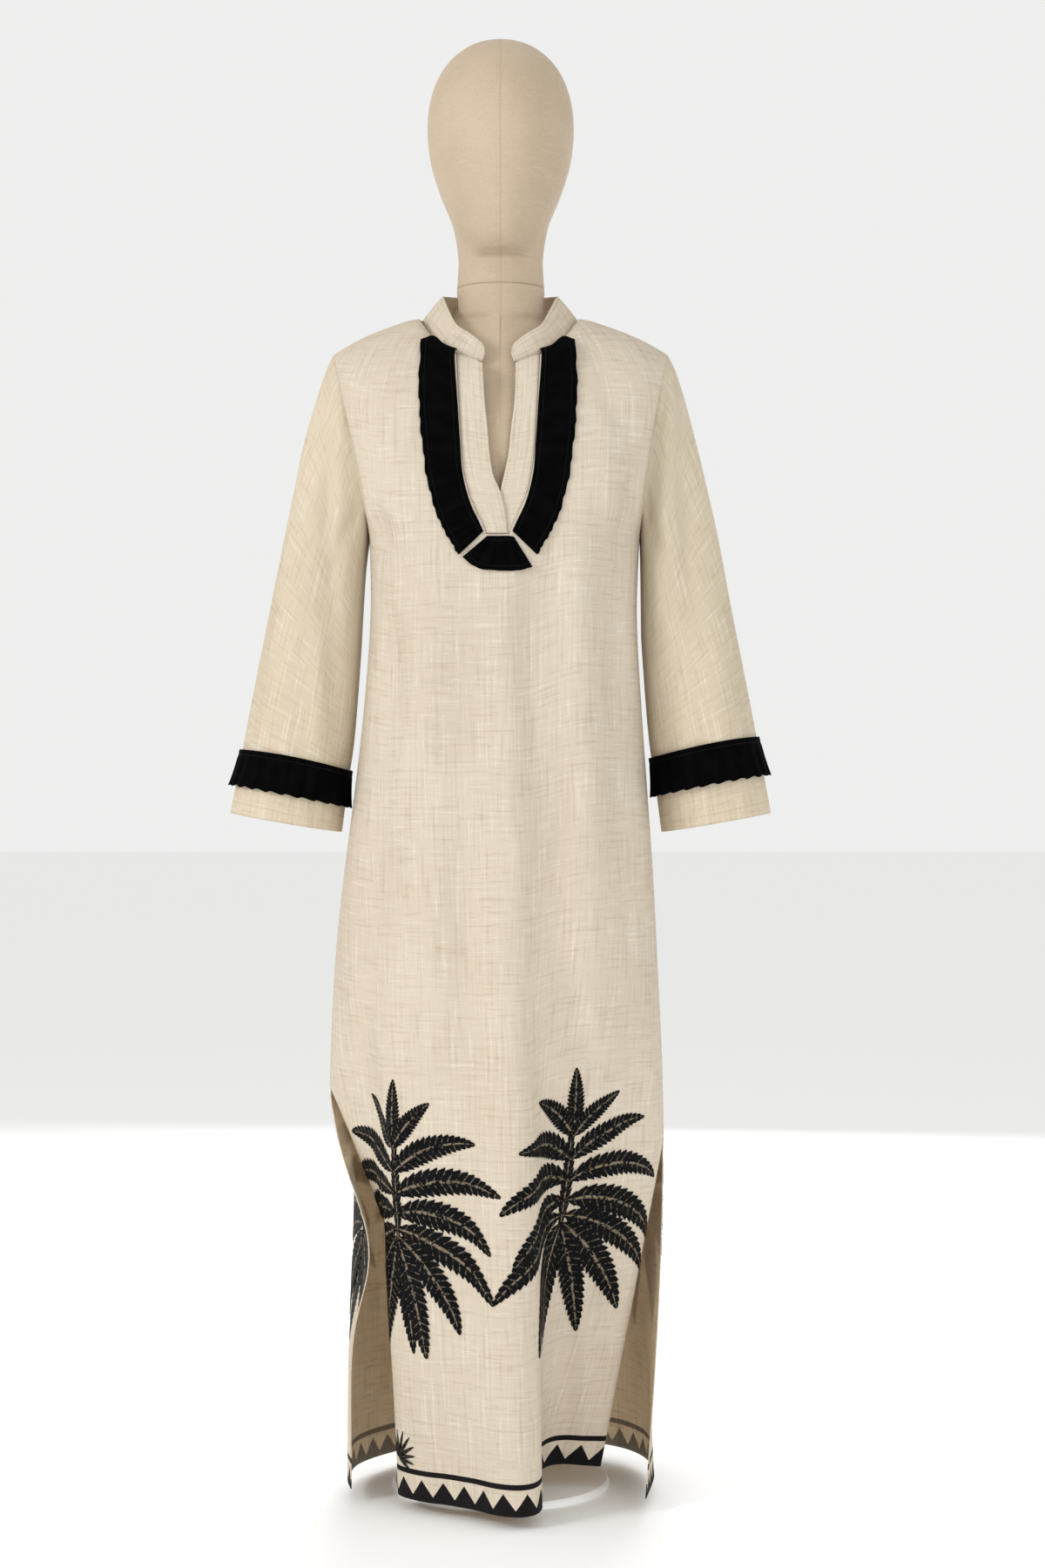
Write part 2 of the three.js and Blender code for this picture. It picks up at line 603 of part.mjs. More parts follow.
// A solid through closed rings, capped at both ends
function loft(rings) {
  const positions = [];
  const push = (p, q, r) => [p, q, r].forEach((v) => positions.push(v.x, v.y, v.z));
  const middle = (ring) =>
    ring.reduce((sum, p) => sum.add(p), new THREE.Vector3()).divideScalar(ring.length);
  rings.slice(0, -1).forEach((ring, k) => {
    const next = rings[k + 1];
    ring.forEach((p, j) => {
      const n = (j + 1) % ring.length;
      push(p, ring[n], next[n]);
      push(p, next[n], next[j]);
    });
  });
  const [first, last] = [rings[0], rings[rings.length - 1]];
  const [low, high] = [middle(first), middle(last)];
  first.forEach((p, j) => push(low, first[(j + 1) % first.length], p));
  last.forEach((p, j) => push(high, p, last[(j + 1) % last.length]));
  return facingOut(positions);
}

const FORM_SIDES = 24;
function oval(row, z) {
  const power = 2 / (row.round ?? 2);
  return Array.from({ length: FORM_SIDES }, (_, k) => {
    const a = (k / FORM_SIDES) * 2 * Math.PI;
    const c = Math.sign(Math.cos(a)) * Math.abs(Math.cos(a)) ** power;
    const s = Math.sign(Math.sin(a)) * Math.abs(Math.sin(a)) ** power;
    return new THREE.Vector3(row.half * c, s < 0 ? row.front * s : row.back * s, z);
  });
}

function torso() {
  return loft(TORSO.map((row) => oval(row, row.z)));
}

function head() {
  const rings = HEAD.map((row) => oval(row, row.z));
  const tip = { half: 4, front: 4, back: 4 };
  return loft([...rings, oval(tip, HEAD_TOP)]);
}

// The pole stands in a short socket on the base
function pole() {
  const length = TORSO_BOTTOM - BASE_HEIGHT - 2 * SEAM;
  const geometry = new THREE.CylinderGeometry(POLE_RADIUS, POLE_RADIUS, length, 20);
  geometry.rotateX(Math.PI / 2);
  geometry.translate(0, BASE_Y, BASE_HEIGHT + SEAM + length / 2);
  return geometry;
}

const SOCKET_RADIUS = 22;
const SOCKET_HEIGHT = 34;
function socket() {
  const bore = POLE_RADIUS + SEAM + 0.2;
  const low = BASE_HEIGHT + SEAM;
  const profile = [
    [bore, low],
    [SOCKET_RADIUS + 6, low],
    [SOCKET_RADIUS + 6, low + 5],
    [SOCKET_RADIUS - 4, low + 9],
    [SOCKET_RADIUS - 4, low + SOCKET_HEIGHT],
    [bore, low + SOCKET_HEIGHT],
    [bore, low],
  ].map(([r, z]) => new THREE.Vector2(r, z));
  return new THREE.LatheGeometry(profile, 24).rotateX(Math.PI / 2).translate(0, BASE_Y, 0);
}

function base() {
  const profile = [
    [0, 0],
    [BASE_RADIUS, 0],
    [BASE_RADIUS, BASE_HEIGHT - 3],
    [BASE_RADIUS - 3, BASE_HEIGHT],
    [0, BASE_HEIGHT],
  ].map(([r, z]) => new THREE.Vector2(r, z));
  return new THREE.LatheGeometry(profile, 48).rotateX(Math.PI / 2).translate(0, BASE_Y, 0);
}

// Colours and finishes
const finish = (color, roughness, metalness = 0) => ({ color, roughness, metalness });
const LINEN = finish(0xe4d7c0, 0.9);
const RIBBON = finish(0x0c0b0c, 0.7);
const CANVAS = finish(0xd6c0a0, 0.85);
const STAND = finish(0xf2f1ee, 0.4);

const kaftan = new THREE.Group();
function add(name, geometry, look) {
  const mesh = new THREE.Mesh(geometry, new THREE.MeshStandardMaterial(look));
  mesh.name = name;
  kaftan.add(mesh);
}

add("front_panel", frontPanel(), LINEN);
add("back_panel", backPanel(), LINEN);
add("sleeve_left", sleeve(-1), LINEN);
add("sleeve_right", sleeve(1), LINEN);
add("collar", collar(), LINEN);
add("placket_left", placketBand(-1), LINEN);
add("placket_right", placketBand(1), LINEN);
add("neck_trim_left", neckTrim(SIDE_RIBBON, -1, SIDE_PLEATS), RIBBON);
add("neck_trim_right", neckTrim(SIDE_RIBBON, 1, SIDE_PLEATS), RIBBON);
add("neck_trim_bottom", neckTrim(BOTTOM_RIBBON, 0, BOTTOM_PLEATS), RIBBON);
add("cuff_trim_left", cuffTrim(-1), RIBBON);
add("cuff_trim_right", cuffTrim(1), RIBBON);
add("form_head", head(), CANVAS);
add("form_torso", torso(), CANVAS);
add("form_pole", pole(), STAND);
add("form_socket", socket(), STAND);
add("form_base", base(), STAND);

export default kaftan;
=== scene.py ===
# %% [markdown]
# A long linen kaftan on a canvas dress form. The hard sizes are already settled in the packed
# model, so this lesson starts by loading it.

# %% The imported model
import math
import bmesh
import bpy
import numpy as np
from mathutils import Matrix, Vector


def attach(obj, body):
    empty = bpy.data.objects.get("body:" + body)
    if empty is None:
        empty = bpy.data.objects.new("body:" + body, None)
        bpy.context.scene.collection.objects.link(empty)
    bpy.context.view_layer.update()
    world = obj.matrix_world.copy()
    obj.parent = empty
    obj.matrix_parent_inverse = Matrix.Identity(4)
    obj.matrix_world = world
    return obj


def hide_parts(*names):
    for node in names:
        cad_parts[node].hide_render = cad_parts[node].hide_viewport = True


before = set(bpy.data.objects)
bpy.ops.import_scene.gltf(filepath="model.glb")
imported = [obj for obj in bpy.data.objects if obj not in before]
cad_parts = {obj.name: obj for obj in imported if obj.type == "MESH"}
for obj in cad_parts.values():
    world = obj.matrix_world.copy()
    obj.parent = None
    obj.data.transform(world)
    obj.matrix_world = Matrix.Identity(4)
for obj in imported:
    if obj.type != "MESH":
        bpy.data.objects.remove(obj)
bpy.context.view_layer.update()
print("solids in the frame:", len(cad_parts))

# %% [markdown]
# The camera stands level, 3.2 m in front, where a millimetre on the cloth is about a pixel of the
# picture. It comes first because every later look is judged through it.

# %% Camera
CAMERA_PLACE = (0.025, -3.2, 0.807)
camera_data = bpy.data.cameras.new("camera")
camera_data.sensor_fit = "VERTICAL"
camera_data.sensor_height = 36.0
camera_data.lens = 64.0
camera_data.clip_end = 60.0
camera = bpy.data.objects.new("camera", camera_data)
camera.location = CAMERA_PLACE
camera.rotation_euler = (math.radians(90), 0, 0)
bpy.context.scene.collection.objects.link(camera)
bpy.context.scene.camera = camera

# %% [markdown]
# A worn garment is a set of sections: how wide and how deep the cloth stands at each height. The
# tables below are the pattern maker's sizes in millimetres, the same that the solids were made
# from, so the thin shells lie on them with no fitting.

# %% Sizes of the worn kaftan, in millimetres
MM = 0.001
WALL = 1.2
SHOULDER_HALF, SHOULDER_Y, CHEST_Z, NECK_X, PLACKET_Z = 191, 4, 1225, -2.3, 1084
SLIT_LEFT, SLIT_RIGHT, HEM, BACK_SLIT_LOWER = 460, 400, 15, 15
NECK_COLUMN = math.sin(2 * math.pi / 28)
SEAM = 0.3
FOLDS_FROM = {"front": 800, "back": 640}
EDGE_SWIFTNESS = {"front": 1.5, "back": 2.6}
SIDES = ((-1, "left"), (1, "right"))


def table(names, *rows):
    return {name: np.array([row[k] for row in rows], float) for k, name in enumerate(names.split())}


BODY = table("z left right front back edge",
    (1225, 175, 176, 104, 90, 46), (1160, 160, 166, 113, 94, 48), (1115, 153, 161, 115, 94, 36),
    (1085, 150, 159, 115, 94, 0), (1000, 149, 156, 117, 95, 0), (900, 156, 161, 121, 98, 0),
    (800, 167, 168, 126, 104, 0), (700, 180, 175, 132, 111, 0), (600, 190, 180, 138, 118, 0),
    (460, 196, 186, 144, 126, 0), (15, 198, 188, 150, 140, 0))
NECK_CUT = table("z half", (1289, 46.8), (1208, 42.6), (1167, 39.7), (1132, 33), (1107, 22.5),
    (1084, 13), (1030, 21), (960, 36), (880, 38), (15, 40))
FRONT_TOP = table("x y z", (46.8, -75, 1289), (62, -60, 1300), (76, -38, 1315), (86, -14, 1331),
    (90, 4, 1340), (125, 4, 1331), (160, 4, 1317), (191, 4, 1300))
BACK_TOP = table("x y z", (0, 68, 1343), (40, 60, 1343), (68, 42, 1342), (84, 20, 1341),
    (90, 4, 1340), (125, 4, 1331), (160, 4, 1317), (191, 4, 1300))
FRONT_HEM = table("c x y z", (-1, -58, -52, 24), (-0.92, -94, -60, 20), (-0.82, -114, -84, 16),
    (-0.66, -101, -111, 15), (-0.42, -58, -137, 15), (-0.2, -20, -172, 15), (0, 18, -191, 15),
    (0.11, 39, -180, 15), (0.2, 47, -154, 17), (0.3, 42, -112, 22), (0.42, 38, -68, 28),
    (0.56, 52, -35, 33), (0.76, 80, -30, 34), (1, 110, -40, 33))
BACK_HEM = table("c x y z", (-1, -168, -72, 16), (-0.86, -174, -26, 16), (-0.66, -166, 44, 16),
    (-0.44, -124, 104, 16), (-0.22, -60, 130, 17), (0, 2, 146, 17), (0.22, 64, 154, 16),
    (0.44, 128, 138, 16), (0.66, 168, 80, 16), (0.86, 176, -8, 16), (1, 162, -116, 16))


# %% [markdown]
# Between two rows of a table the cloth runs in a smooth curve. A Catmull-Rom curve passes through
# every row and needs no handles, which suits sizes that were measured.

# %% Reading the tables
def mix(a, b, t):
    return a + (b - a) * t


def ease(t):
    t = np.clip(t, 0, 1)
    return t * t * (3 - 2 * t)


def bell(x, width):
    return np.exp(-((x / width) ** 2))


def along(rows, key, value, at="z"):
    places, sizes = rows[at], rows[key]
    if places[0] > places[-1]:
        places, sizes = places[::-1], sizes[::-1]
    value = np.asarray(value, float)
    i = np.clip(np.searchsorted(places, value) - 1, 0, len(places) - 2)
    span = places[i + 1] - places[i]
    t = np.clip((value - places[i]) / span, 0, 1)
    low, high = np.maximum(i - 1, 0), np.minimum(i + 2, len(places) - 1)
    before = (sizes[i + 1] - sizes[low]) / (places[i + 1] - places[low])
    after = (sizes[high] - sizes[i]) / (places[high] - places[i])
    h = t * t * (3 - 2 * t)
    bow = t * (1 - t) * ((1 - t) * before - t * after) * span
    return sizes[i] * (1 - h) + sizes[i + 1] * h + bow


def rung(rows, key, t):
    """The same curve by share of the way through the rows, from 0 to 1."""
    count = len(rows[key])
    numbered = {"n": np.arange(count, dtype=float), "v": rows[key]}
    return along(numbered, "v", np.clip(t, 0, 1) * (count - 1), "n")


# %% [markdown]
# One function gives any point of the front or the back: how far across the panel, and how far
# down. Above the slits it is an oval, and towards the hem it turns into the folds that the cloth
# hangs in, because a hem is free to swing where a seam isn't.

# %% The front and the back as a surface
def hang(column, z, side):
    """How far the cloth has turned from its worn oval (0) into the hem's folds (1)."""
    slit = np.where(column < 0, SLIT_LEFT, SLIT_RIGHT) - BACK_SLIT_LOWER * (side == "back")
    start = mix(FOLDS_FROM[side], slit, np.abs(column) ** 3)
    t = np.clip((start - z) / (start - HEM), 0, 1)
    left_edge, right_edge = 1 - (1 - t) ** EDGE_SWIFTNESS[side], t ** 1.6 if side == "back" else t
    at_edge = np.where(column < 0, left_edge, right_edge)
    return mix(t ** 1.35, at_edge, ease((np.abs(column) - 0.45) / 0.5))


def half_width(column, z):
    return np.where(column < 0, along(BODY, "left", z), along(BODY, "right", z))


def section(column, z, side):
    deep = along(BODY, side, z)
    edge = np.maximum(0, along(BODY, "edge", z))
    power = mix(2.0, 2.5, np.clip((z - 500) / 500, 0, 1))
    y = edge + (deep - edge) * np.maximum(0, 1 - np.abs(column) ** power) ** (1 / power)
    return half_width(column, z) * column, -y if side == "front" else y + SEAM


def slide(column, z, half):
    reach = along(NECK_CUT, "half", z) / half
    c = np.abs(column)
    outside = reach + (c - NECK_COLUMN) * (1 - reach) / (1 - NECK_COLUMN)
    return np.sign(column) * np.where(c < NECK_COLUMN, c * reach / NECK_COLUMN, outside)


def panel_point(side, angle, level):
    raw = np.sin(angle) + 0 * level
    front = side == "front"
    hem, top = (FRONT_HEM, FRONT_TOP) if front else (BACK_HEM, BACK_TOP)
    bend = np.clip(level, 0, 1) * math.pi / 2
    column = slide(raw, CHEST_Z, BODY["left"][0]) if front else raw
    top_x = SHOULDER_HALF * (slide(raw, FRONT_TOP["z"][0], SHOULDER_HALF) if front else raw)
    reach = np.maximum(np.abs(top_x), top["x"][0])
    line = along(top, "y", reach, "x")
    top_y = np.minimum(SHOULDER_Y, line) if front else np.maximum(SHOULDER_Y, line) + SEAM
    low_x, low_y = section(column, CHEST_Z + 0 * raw, side)
    up = [mix(top_x, low_x, 1 - np.cos(bend)) + (NECK_X * (1 - raw ** 2) if front else 0),
          mix(top_y, low_y, np.sin(bend)),
          mix(along(top, "z", reach, "x"), CHEST_Z, 1 - np.cos(bend))]
    z = mix(CHEST_Z, along(hem, "z", raw, "c"), np.clip(level - 1, 0, 1))
    column = slide(raw, z, half_width(raw, z)) if front else raw
    worn_x, worn_y = section(column, z, side)
    w = hang(raw, z, side)
    x = mix(worn_x, along(hem, "x", raw, "c"), w)
    y = mix(worn_y, along(hem, "y", raw, "c"), w)
    if front:
        x = x + NECK_X * (1 - raw ** 2) * np.clip((z - 800) / 200, 0, 1)
    else:
        swing = np.where(raw < 0, bell(z - 290, 80) * ease((-raw - 0.8) / 0.2), 0)
        x, y = x + 30 * swing, y - 42 * swing
    return np.stack([np.where(level <= 1, a, b) for a, b in zip(up, (x, y, z))], -1)


# %% [markdown]
# Linen never hangs quite smooth. The main creases are placed as soft troughs and ridges,
# each from a start to an end with its own depth and width, unevenly, and like ones on the back.

# %% Creases, as x and z of both ends, depth and width, in millimetres
CREASE_GAIN = 1.5
FRONT_CREASES = (
    (-150, 1120, -96, 1010, -4.0, 15), (-142, 1075, -108, 880, -3.6, 17),
    (152, 1135, 112, 1020, -4.2, 14), (148, 1080, 122, 880, -3.6, 16),
    (-112, 1190, -120, 1090, 2.4, 16), (118, 1200, 128, 1080, 2.6, 17),
    (36, 1020, 50, 470, -6.5, 24), (12, 960, 26, 420, 4.6, 20), (-36, 1000, -52, 420, -3.6, 30),
    (-88, 960, -112, 480, 5.0, 24), (-128, 880, -152, 520, -4.4, 18), (92, 990, 110, 470, 5.0, 22),
    (134, 900, 150, 520, -3.6, 16), (-70, 700, -74, 120, 3.8, 18), (-34, 600, -30, 90, -4.2, 17),
    (84, 420, 92, 90, 3.0, 12), (-96, 1290, -126, 1210, -2.4, 12), (98, 1292, 130, 1214, -2.6, 12),
    (-60, 1036, -20, 1004, 1.8, 14), (30, 1034, 74, 996, -1.8, 13), (-40, 820, 26, 806, 1.2, 12),
    (46, 690, 92, 676, -1.4, 12), (66, 900, 76, 560, -3.2, 13), (-146, 470, -128, 300, -4.5, 12))
BACK_CREASES = (
    (-60, 1290, -84, 1160, -2.6, 18), (64, 1286, 92, 1150, -2.8, 18), (-20, 1180, -34, 760, 3.6, 28),
    (38, 1150, 44, 700, -4.0, 26), (-94, 1080, -112, 620, -3.8, 24), (104, 1060, 122, 560, 4.2, 24),
    (-136, 1100, -150, 820, 3.0, 16), (142, 1090, 154, 800, -3.0, 16), (-10, 700, 4, 120, -4.0, 24),
    (76, 620, 90, 110, 4.6, 22), (-84, 560, -104, 100, 4.0, 22), (-40, 980, 20, 960, 1.6, 14))


def creases(points, rows):
    x, z = points[..., 0], points[..., 2]
    depth = 0 * x
    for x1, z1, x2, z2, deep, width in rows:
        run = Vector((x2 - x1, z2 - z1))
        t = ((x - x1) * run.x + (z - z1) * run.y) / run.length_squared
        off = (x - x1 - t * run.x) + 2.2 * np.sin(z / 61 + x1)
        past = np.maximum(np.maximum(-t, t - 1), 0) * 3
        uneven = 1 - 0.35 * np.sin(5 * t + z1) ** 2
        depth = depth + deep * np.exp(-(off / width) ** 2 - past ** 2) * uneven
    return depth


# %% [markdown]
# A grid of points with its normals and its lengths along the thread is a cloth. The lengths are the
# shell's own UV in metres, so the weave, the border and the motifs keep their size in every fold.

# %% A cloth as grids of points, normals and thread lengths
class Cloth:
    def __init__(self, points, out_sign=1, above_hem=None, tube=False):
        self.points = points
        wide = np.concatenate([points[:, -3:-1], points, points[:, 1:3]], 1) if tube else points
        across = np.gradient(wide, axis=1)[:, 2:-2] if tube else np.gradient(wide, axis=1)
        normals = np.cross(across, np.gradient(points, axis=0)) * out_sign
        if tube:
            away = points - points.mean(1, keepdims=True)
            normals = normals * (1 if (normals * away).sum() > 0 else -1)
        size = np.linalg.norm(normals, axis=-1, keepdims=True)
        self.normals = normals / np.maximum(size, 1e-9)
        step = np.linalg.norm(np.diff(points, axis=1), axis=-1)
        lengths = np.concatenate([np.zeros((len(points), 1)), np.cumsum(step, axis=1)], 1)
        self.across = lengths - lengths[:, lengths.shape[1] // 2][:, None]
        self.height = points[..., 2] if above_hem is None else above_hem

    def between(self, i, j):
        """Points and normals at fractional rows i and columns j."""
        rows, columns = self.across.shape
        i0, j0 = np.clip(i.astype(int), 0, rows - 2), np.clip(j.astype(int), 0, columns - 2)
        a, b = (i - i0)[:, None], (j - j0)[:, None]
        return [mix(mix(k[i0, j0], k[i0, j0 + 1], b), mix(k[i0 + 1, j0], k[i0 + 1, j0 + 1], b), a)
                for k in (self.points, self.normals)]

    def place(self, s, h, out):
        """Points at s along the weft from the middle and h above the hem, moved out of the cloth,
        and which of them fall beside the cloth."""
        shape, s, h = s.shape, s.ravel(), h.ravel()
        rows, columns = self.across.shape
        n, i = np.arange(len(s)), np.full(len(s), rows * 0.8)
        for _ in range(6):
            i0 = np.clip(i.astype(int), 0, rows - 2)
            line = mix(self.across[i0], self.across[i0 + 1], (i - i0)[:, None])
            right = np.clip((line <= s[:, None]).sum(1), 1, columns - 1)
            low, high = line[n, right - 1], line[n, right]
            j = right - 1 + np.clip((s - low) / (high - low), 0, 1)
            j0 = np.clip(j.astype(int), 0, columns - 2)
            rise = mix(self.height[:, j0], self.height[:, j0 + 1], j - j0)
            under = np.clip((rise >= h).sum(0), 1, rows - 1)
            top, foot = rise[under - 1, n], rise[under, n]
            i = under - 1 + np.clip((top - h) / (top - foot), 0, 1)
        spot, normal = self.between(i, j)
        beside = (s < line[:, 0] + 2) | (s > line[:, -1] - 2) | (h < 1)
        return (spot + normal * np.asarray(out)).reshape(shape + (3,)), beside.reshape(shape)


COLUMNS, BACK_COLUMNS = 112, 100
ROWS = (10, 24, 190)


def panel_cloth(side, columns):
    angle = (np.linspace(0, 1, columns + 1) - 0.5) * math.pi
    raw = np.sin(angle)
    hem_z = along(FRONT_HEM if side == "front" else BACK_HEM, "z", raw, "c")
    placket = 1 + (CHEST_Z - PLACKET_Z) / (CHEST_Z - hem_z)
    parts = [np.linspace(0, 1, ROWS[0] + 1)[:, None] + 0 * angle,
             1 + np.linspace(0, 1, ROWS[1] + 1)[1:, None] * (placket - 1),
             placket + np.linspace(0, 1, ROWS[2] + 1)[1:, None] * (2 - placket)]
    level = np.concatenate(parts)
    points = panel_point(side, angle[None, :], level)
    sign = 1 if side == "front" else -1
    plain = Cloth(points, -sign)
    depth = creases(points, FRONT_CREASES if side == "front" else BACK_CREASES)
    calm = ease((1 - np.abs(raw)) / 0.12) * ease(level / 0.6)
    near_trim = 1 - np.exp(-np.hypot(points[..., 0] / 96, (points[..., 2] - 1180) / 150) ** 8)
    depth = depth * calm * (near_trim if side == "front" else 1)
    creased = points + plain.normals * CREASE_GAIN * depth[..., None]
    return Cloth(creased, -sign, points[..., 2] - hem_z)


front = panel_cloth("front", COLUMNS)
back = panel_cloth("back", BACK_COLUMNS)
print("hem along the weft, mm:", round(np.ptp(front.across[-1])), round(np.ptp(back.across[-1])))

# %% [markdown]
# A wall starts as Blender's own flat grid: its vertices are moved to their places on the garment,
# the faces inside an opening are deleted, and a Solidify modifier gives the cloth its thickness. The
# inside gets the next material, because a motif is paler on the wrong side; that material is also
# painted lighter than the cloth, as painted light in the shaded insides.


# %% From a grid of points to a piece of cloth
def new_piece(name, mesh, replaces=()):
    piece = bpy.data.objects.new(name, mesh)
    bpy.context.scene.collection.objects.link(piece)
    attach(piece, "root")
    if replaces:
        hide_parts(*replaces)
    return piece


def add_grid(bm, layer, points, uv=None, hole=None):
    rows, columns = points.shape[0] - 1, points.shape[1] - 1
    made = bmesh.ops.create_grid(bm, x_segments=columns, y_segments=rows, size=0.5)["verts"]
    faces = {face for vert in made for face in vert.link_faces}
    for vert in made:
        j, i = round((vert.co.x + 0.5) * columns), round((0.5 - vert.co.y) * rows)
        vert.index = i * (columns + 1) + j
    for face in faces:
        for loop in face.loops:
            i, j = divmod(loop.vert.index, columns + 1)
            loop[layer].uv = uv[i, j] if uv is not None else (j / columns, i / rows)
    corner = {face: min(vert.index for vert in face.verts) for face in faces}
    cut = [f for f, n in corner.items() if hole and hole(*divmod(n, columns + 1))]
    for vert in made:
        i, j = divmod(vert.index, columns + 1)
        vert.co = Vector(points[i, j]) * MM
    bmesh.ops.delete(bm, geom=cut, context="FACES")


def mesh_from(bm, name, *materials):
    mesh = bpy.data.meshes.new(name)
    bm.to_mesh(mesh)
    bm.free()
    mesh.shade_smooth()
    for material in materials:
        mesh.materials.append(material)
    return mesh


def grid_mesh(name, *grids, wraps=False):
    """Each of grids is (points, uv, hole), and all of them become one mesh."""
    bm = bmesh.new()
    layer = bm.loops.layers.uv.new("thread")
    for grid in grids:
        add_grid(bm, layer, *grid)
    if wraps:
        bmesh.ops.remove_doubles(bm, verts=bm.verts, dist=1e-6)
    return mesh_from(bm, name)


def outward(mesh, toward):
    """Turns every face if most look the wrong way; toward(co) points out of the cloth."""
    if sum(p.normal.dot(toward(p.center)) for p in mesh.polygons) < 0:
        mesh.flip_normals()


def thick(piece, wall=WALL, inside=1):
    solid = piece.modifiers.new("wall", "SOLIDIFY")
    solid.thickness = wall * MM
    solid.offset = -1
    solid.material_offset = inside
    solid.use_even_offset = False
    return piece


def thread_uv(cloth):
    return np.stack([cloth.across, cloth.height], -1) * MM


# %% [markdown]
# The shader is written as sums. A small class wraps a socket, so that adding or multiplying two
# values adds the Math node that does it, and one method makes any other node.


# %% Shader maths
class Value:
    def __init__(self, shade, socket):
        self.shade, self.socket = shade, socket

    def join(self, operation, *others):
        return self.shade.node("ShaderNodeMath", {"operation": operation}, self, *others).value()

    def __add__(self, o): return self.join("ADD", o)
    def __sub__(self, o): return self.join("SUBTRACT", o)
    def __mul__(self, o): return self.join("MULTIPLY", o)
    def __truediv__(self, o): return self.join("DIVIDE", o)
    def __rsub__(self, o):
        return self.shade.node("ShaderNodeMath", {"operation": "SUBTRACT"}, o, self).value()

    __radd__, __rmul__ = __add__, __mul__
    def sine(self): return self.join("SINE")
    def fract(self): return self.join("FRACT")
    def size(self): return self.join("ABSOLUTE")
    def below(self, o): return self.join("LESS_THAN", o)
    def above(self, o): return self.join("GREATER_THAN", o)

    def smooth(self, low, high):
        settings = {"interpolation_type": "SMOOTHSTEP", "clamp": True}
        return self.shade.node("ShaderNodeMapRange", settings, self, low, high).value()


class Node:
    def __init__(self, shade, made):
        self.shade, self.made = shade, made

    def value(self, name=0):
        return Value(self.shade, self.made.outputs[name])


class Shade:
    def __init__(self, name):
        self.material = bpy.data.materials.new(name)
        self.material.use_nodes = True
        self.tree = self.material.node_tree
        self.tree.nodes.clear()
        self.end = self.tree.nodes.new("ShaderNodeOutputMaterial")
        self.surface = self.tree.nodes.new("ShaderNodeBsdfPrincipled")
        self.tree.links.new(self.surface.outputs[0], self.end.inputs["Surface"])

    def feed(self, socket, value):
        if isinstance(value, Value):
            self.tree.links.new(value.socket, socket)
        elif value is not None:
            socket.default_value = value

    def node(self, kind, settings, *values, **named):
        made = self.tree.nodes.new(kind)
        for key, setting in settings.items():
            setattr(made, key, setting)
        for socket, value in zip(made.inputs, values):
            self.feed(socket, value)
        for key, value in named.items():
            self.feed(made.inputs[key], value)
        return Node(self, made)

    def thread_lengths(self):
        """The cloth's own UV, and its two parts."""
        uv = self.node("ShaderNodeUVMap", {"uv_map": "thread"}).value()
        split = self.node("ShaderNodeSeparateXYZ", {}, uv)
        return uv, split.value("X"), split.value("Y")

    def object_place(self):
        return self.node("ShaderNodeTexCoord", {}).value("Object")

    def blend(self, factor, a, b):
        made = self.tree.nodes.new("ShaderNodeMix")
        made.data_type = "RGBA"
        for name, value in (("Factor_Float", factor), ("A_Color", a), ("B_Color", b)):
            socket = next(s for s in made.inputs if s.identifier == name)
            self.feed(socket, value)
        return Value(self, next(s for s in made.outputs if s.identifier == "Result_Color"))

    def noise(self, where, stretch, detail=2.0, rough=0.5, shift=(0, 0, 0)):
        moved = self.node("ShaderNodeMapping", {}, where, Scale=stretch, Location=shift).value()
        settings = {"Scale": 1.0, "Detail": detail, "Roughness": rough}
        return self.node("ShaderNodeTexNoise", {}, moved, **settings).value()

    def bump(self, height, distance, strength):
        made = self.node("ShaderNodeBump", {}, Strength=strength, Distance=distance, Height=height)
        self.feed(self.surface.inputs["Normal"], made.value())

    def let_light_through(self, layers, share):
        """Thin cloth glows a little where the light is behind it. Each layer is a factor and an
        even colour, and lies over the one before."""
        through = None
        for factor, colour in layers:
            lit = self.node("ShaderNodeBsdfTranslucent", {}, colour).value()
            if through:
                lit = self.node("ShaderNodeMixShader", {}, factor, through, lit).value()
            through = lit
        solid = Value(self, self.surface.outputs[0])
        both = self.node("ShaderNodeMixShader", {}, share, solid, through).value()
        self.feed(self.end.inputs["Surface"], both)

    def finish(self, **sockets):
        """Fills the Principled sockets that are named, with _ for a space."""
        for name, value in sockets.items():
            self.feed(self.surface.inputs[name.replace("_", " ")], value)
        return self.material


# %% [markdown]
# Slub linen is a plain weave whose yarns swell here and there. A swollen yarn is a pale streak some
# centimetres long and a millimetre wide. It runs along the weft or along the warp, so two noises
# stretched the two ways make them. The hem border is counted in the same thread lengths.

# %% Linen
IVORY, IVORY_DEEP = (0.755, 0.672, 0.550, 1), (0.56, 0.462, 0.338, 1)
SLUB = (0.90, 0.84, 0.73, 1)
INK, INK_FADED = (0.012, 0.010, 0.011, 1), (0.20, 0.17, 0.14, 1)
TRIANGLE_STEP, TRIANGLE_TALL, BORDER_FOOT = 0.0275, 0.0175, 0.0065
BORDER_LINE = (0.0285, 0.0345)


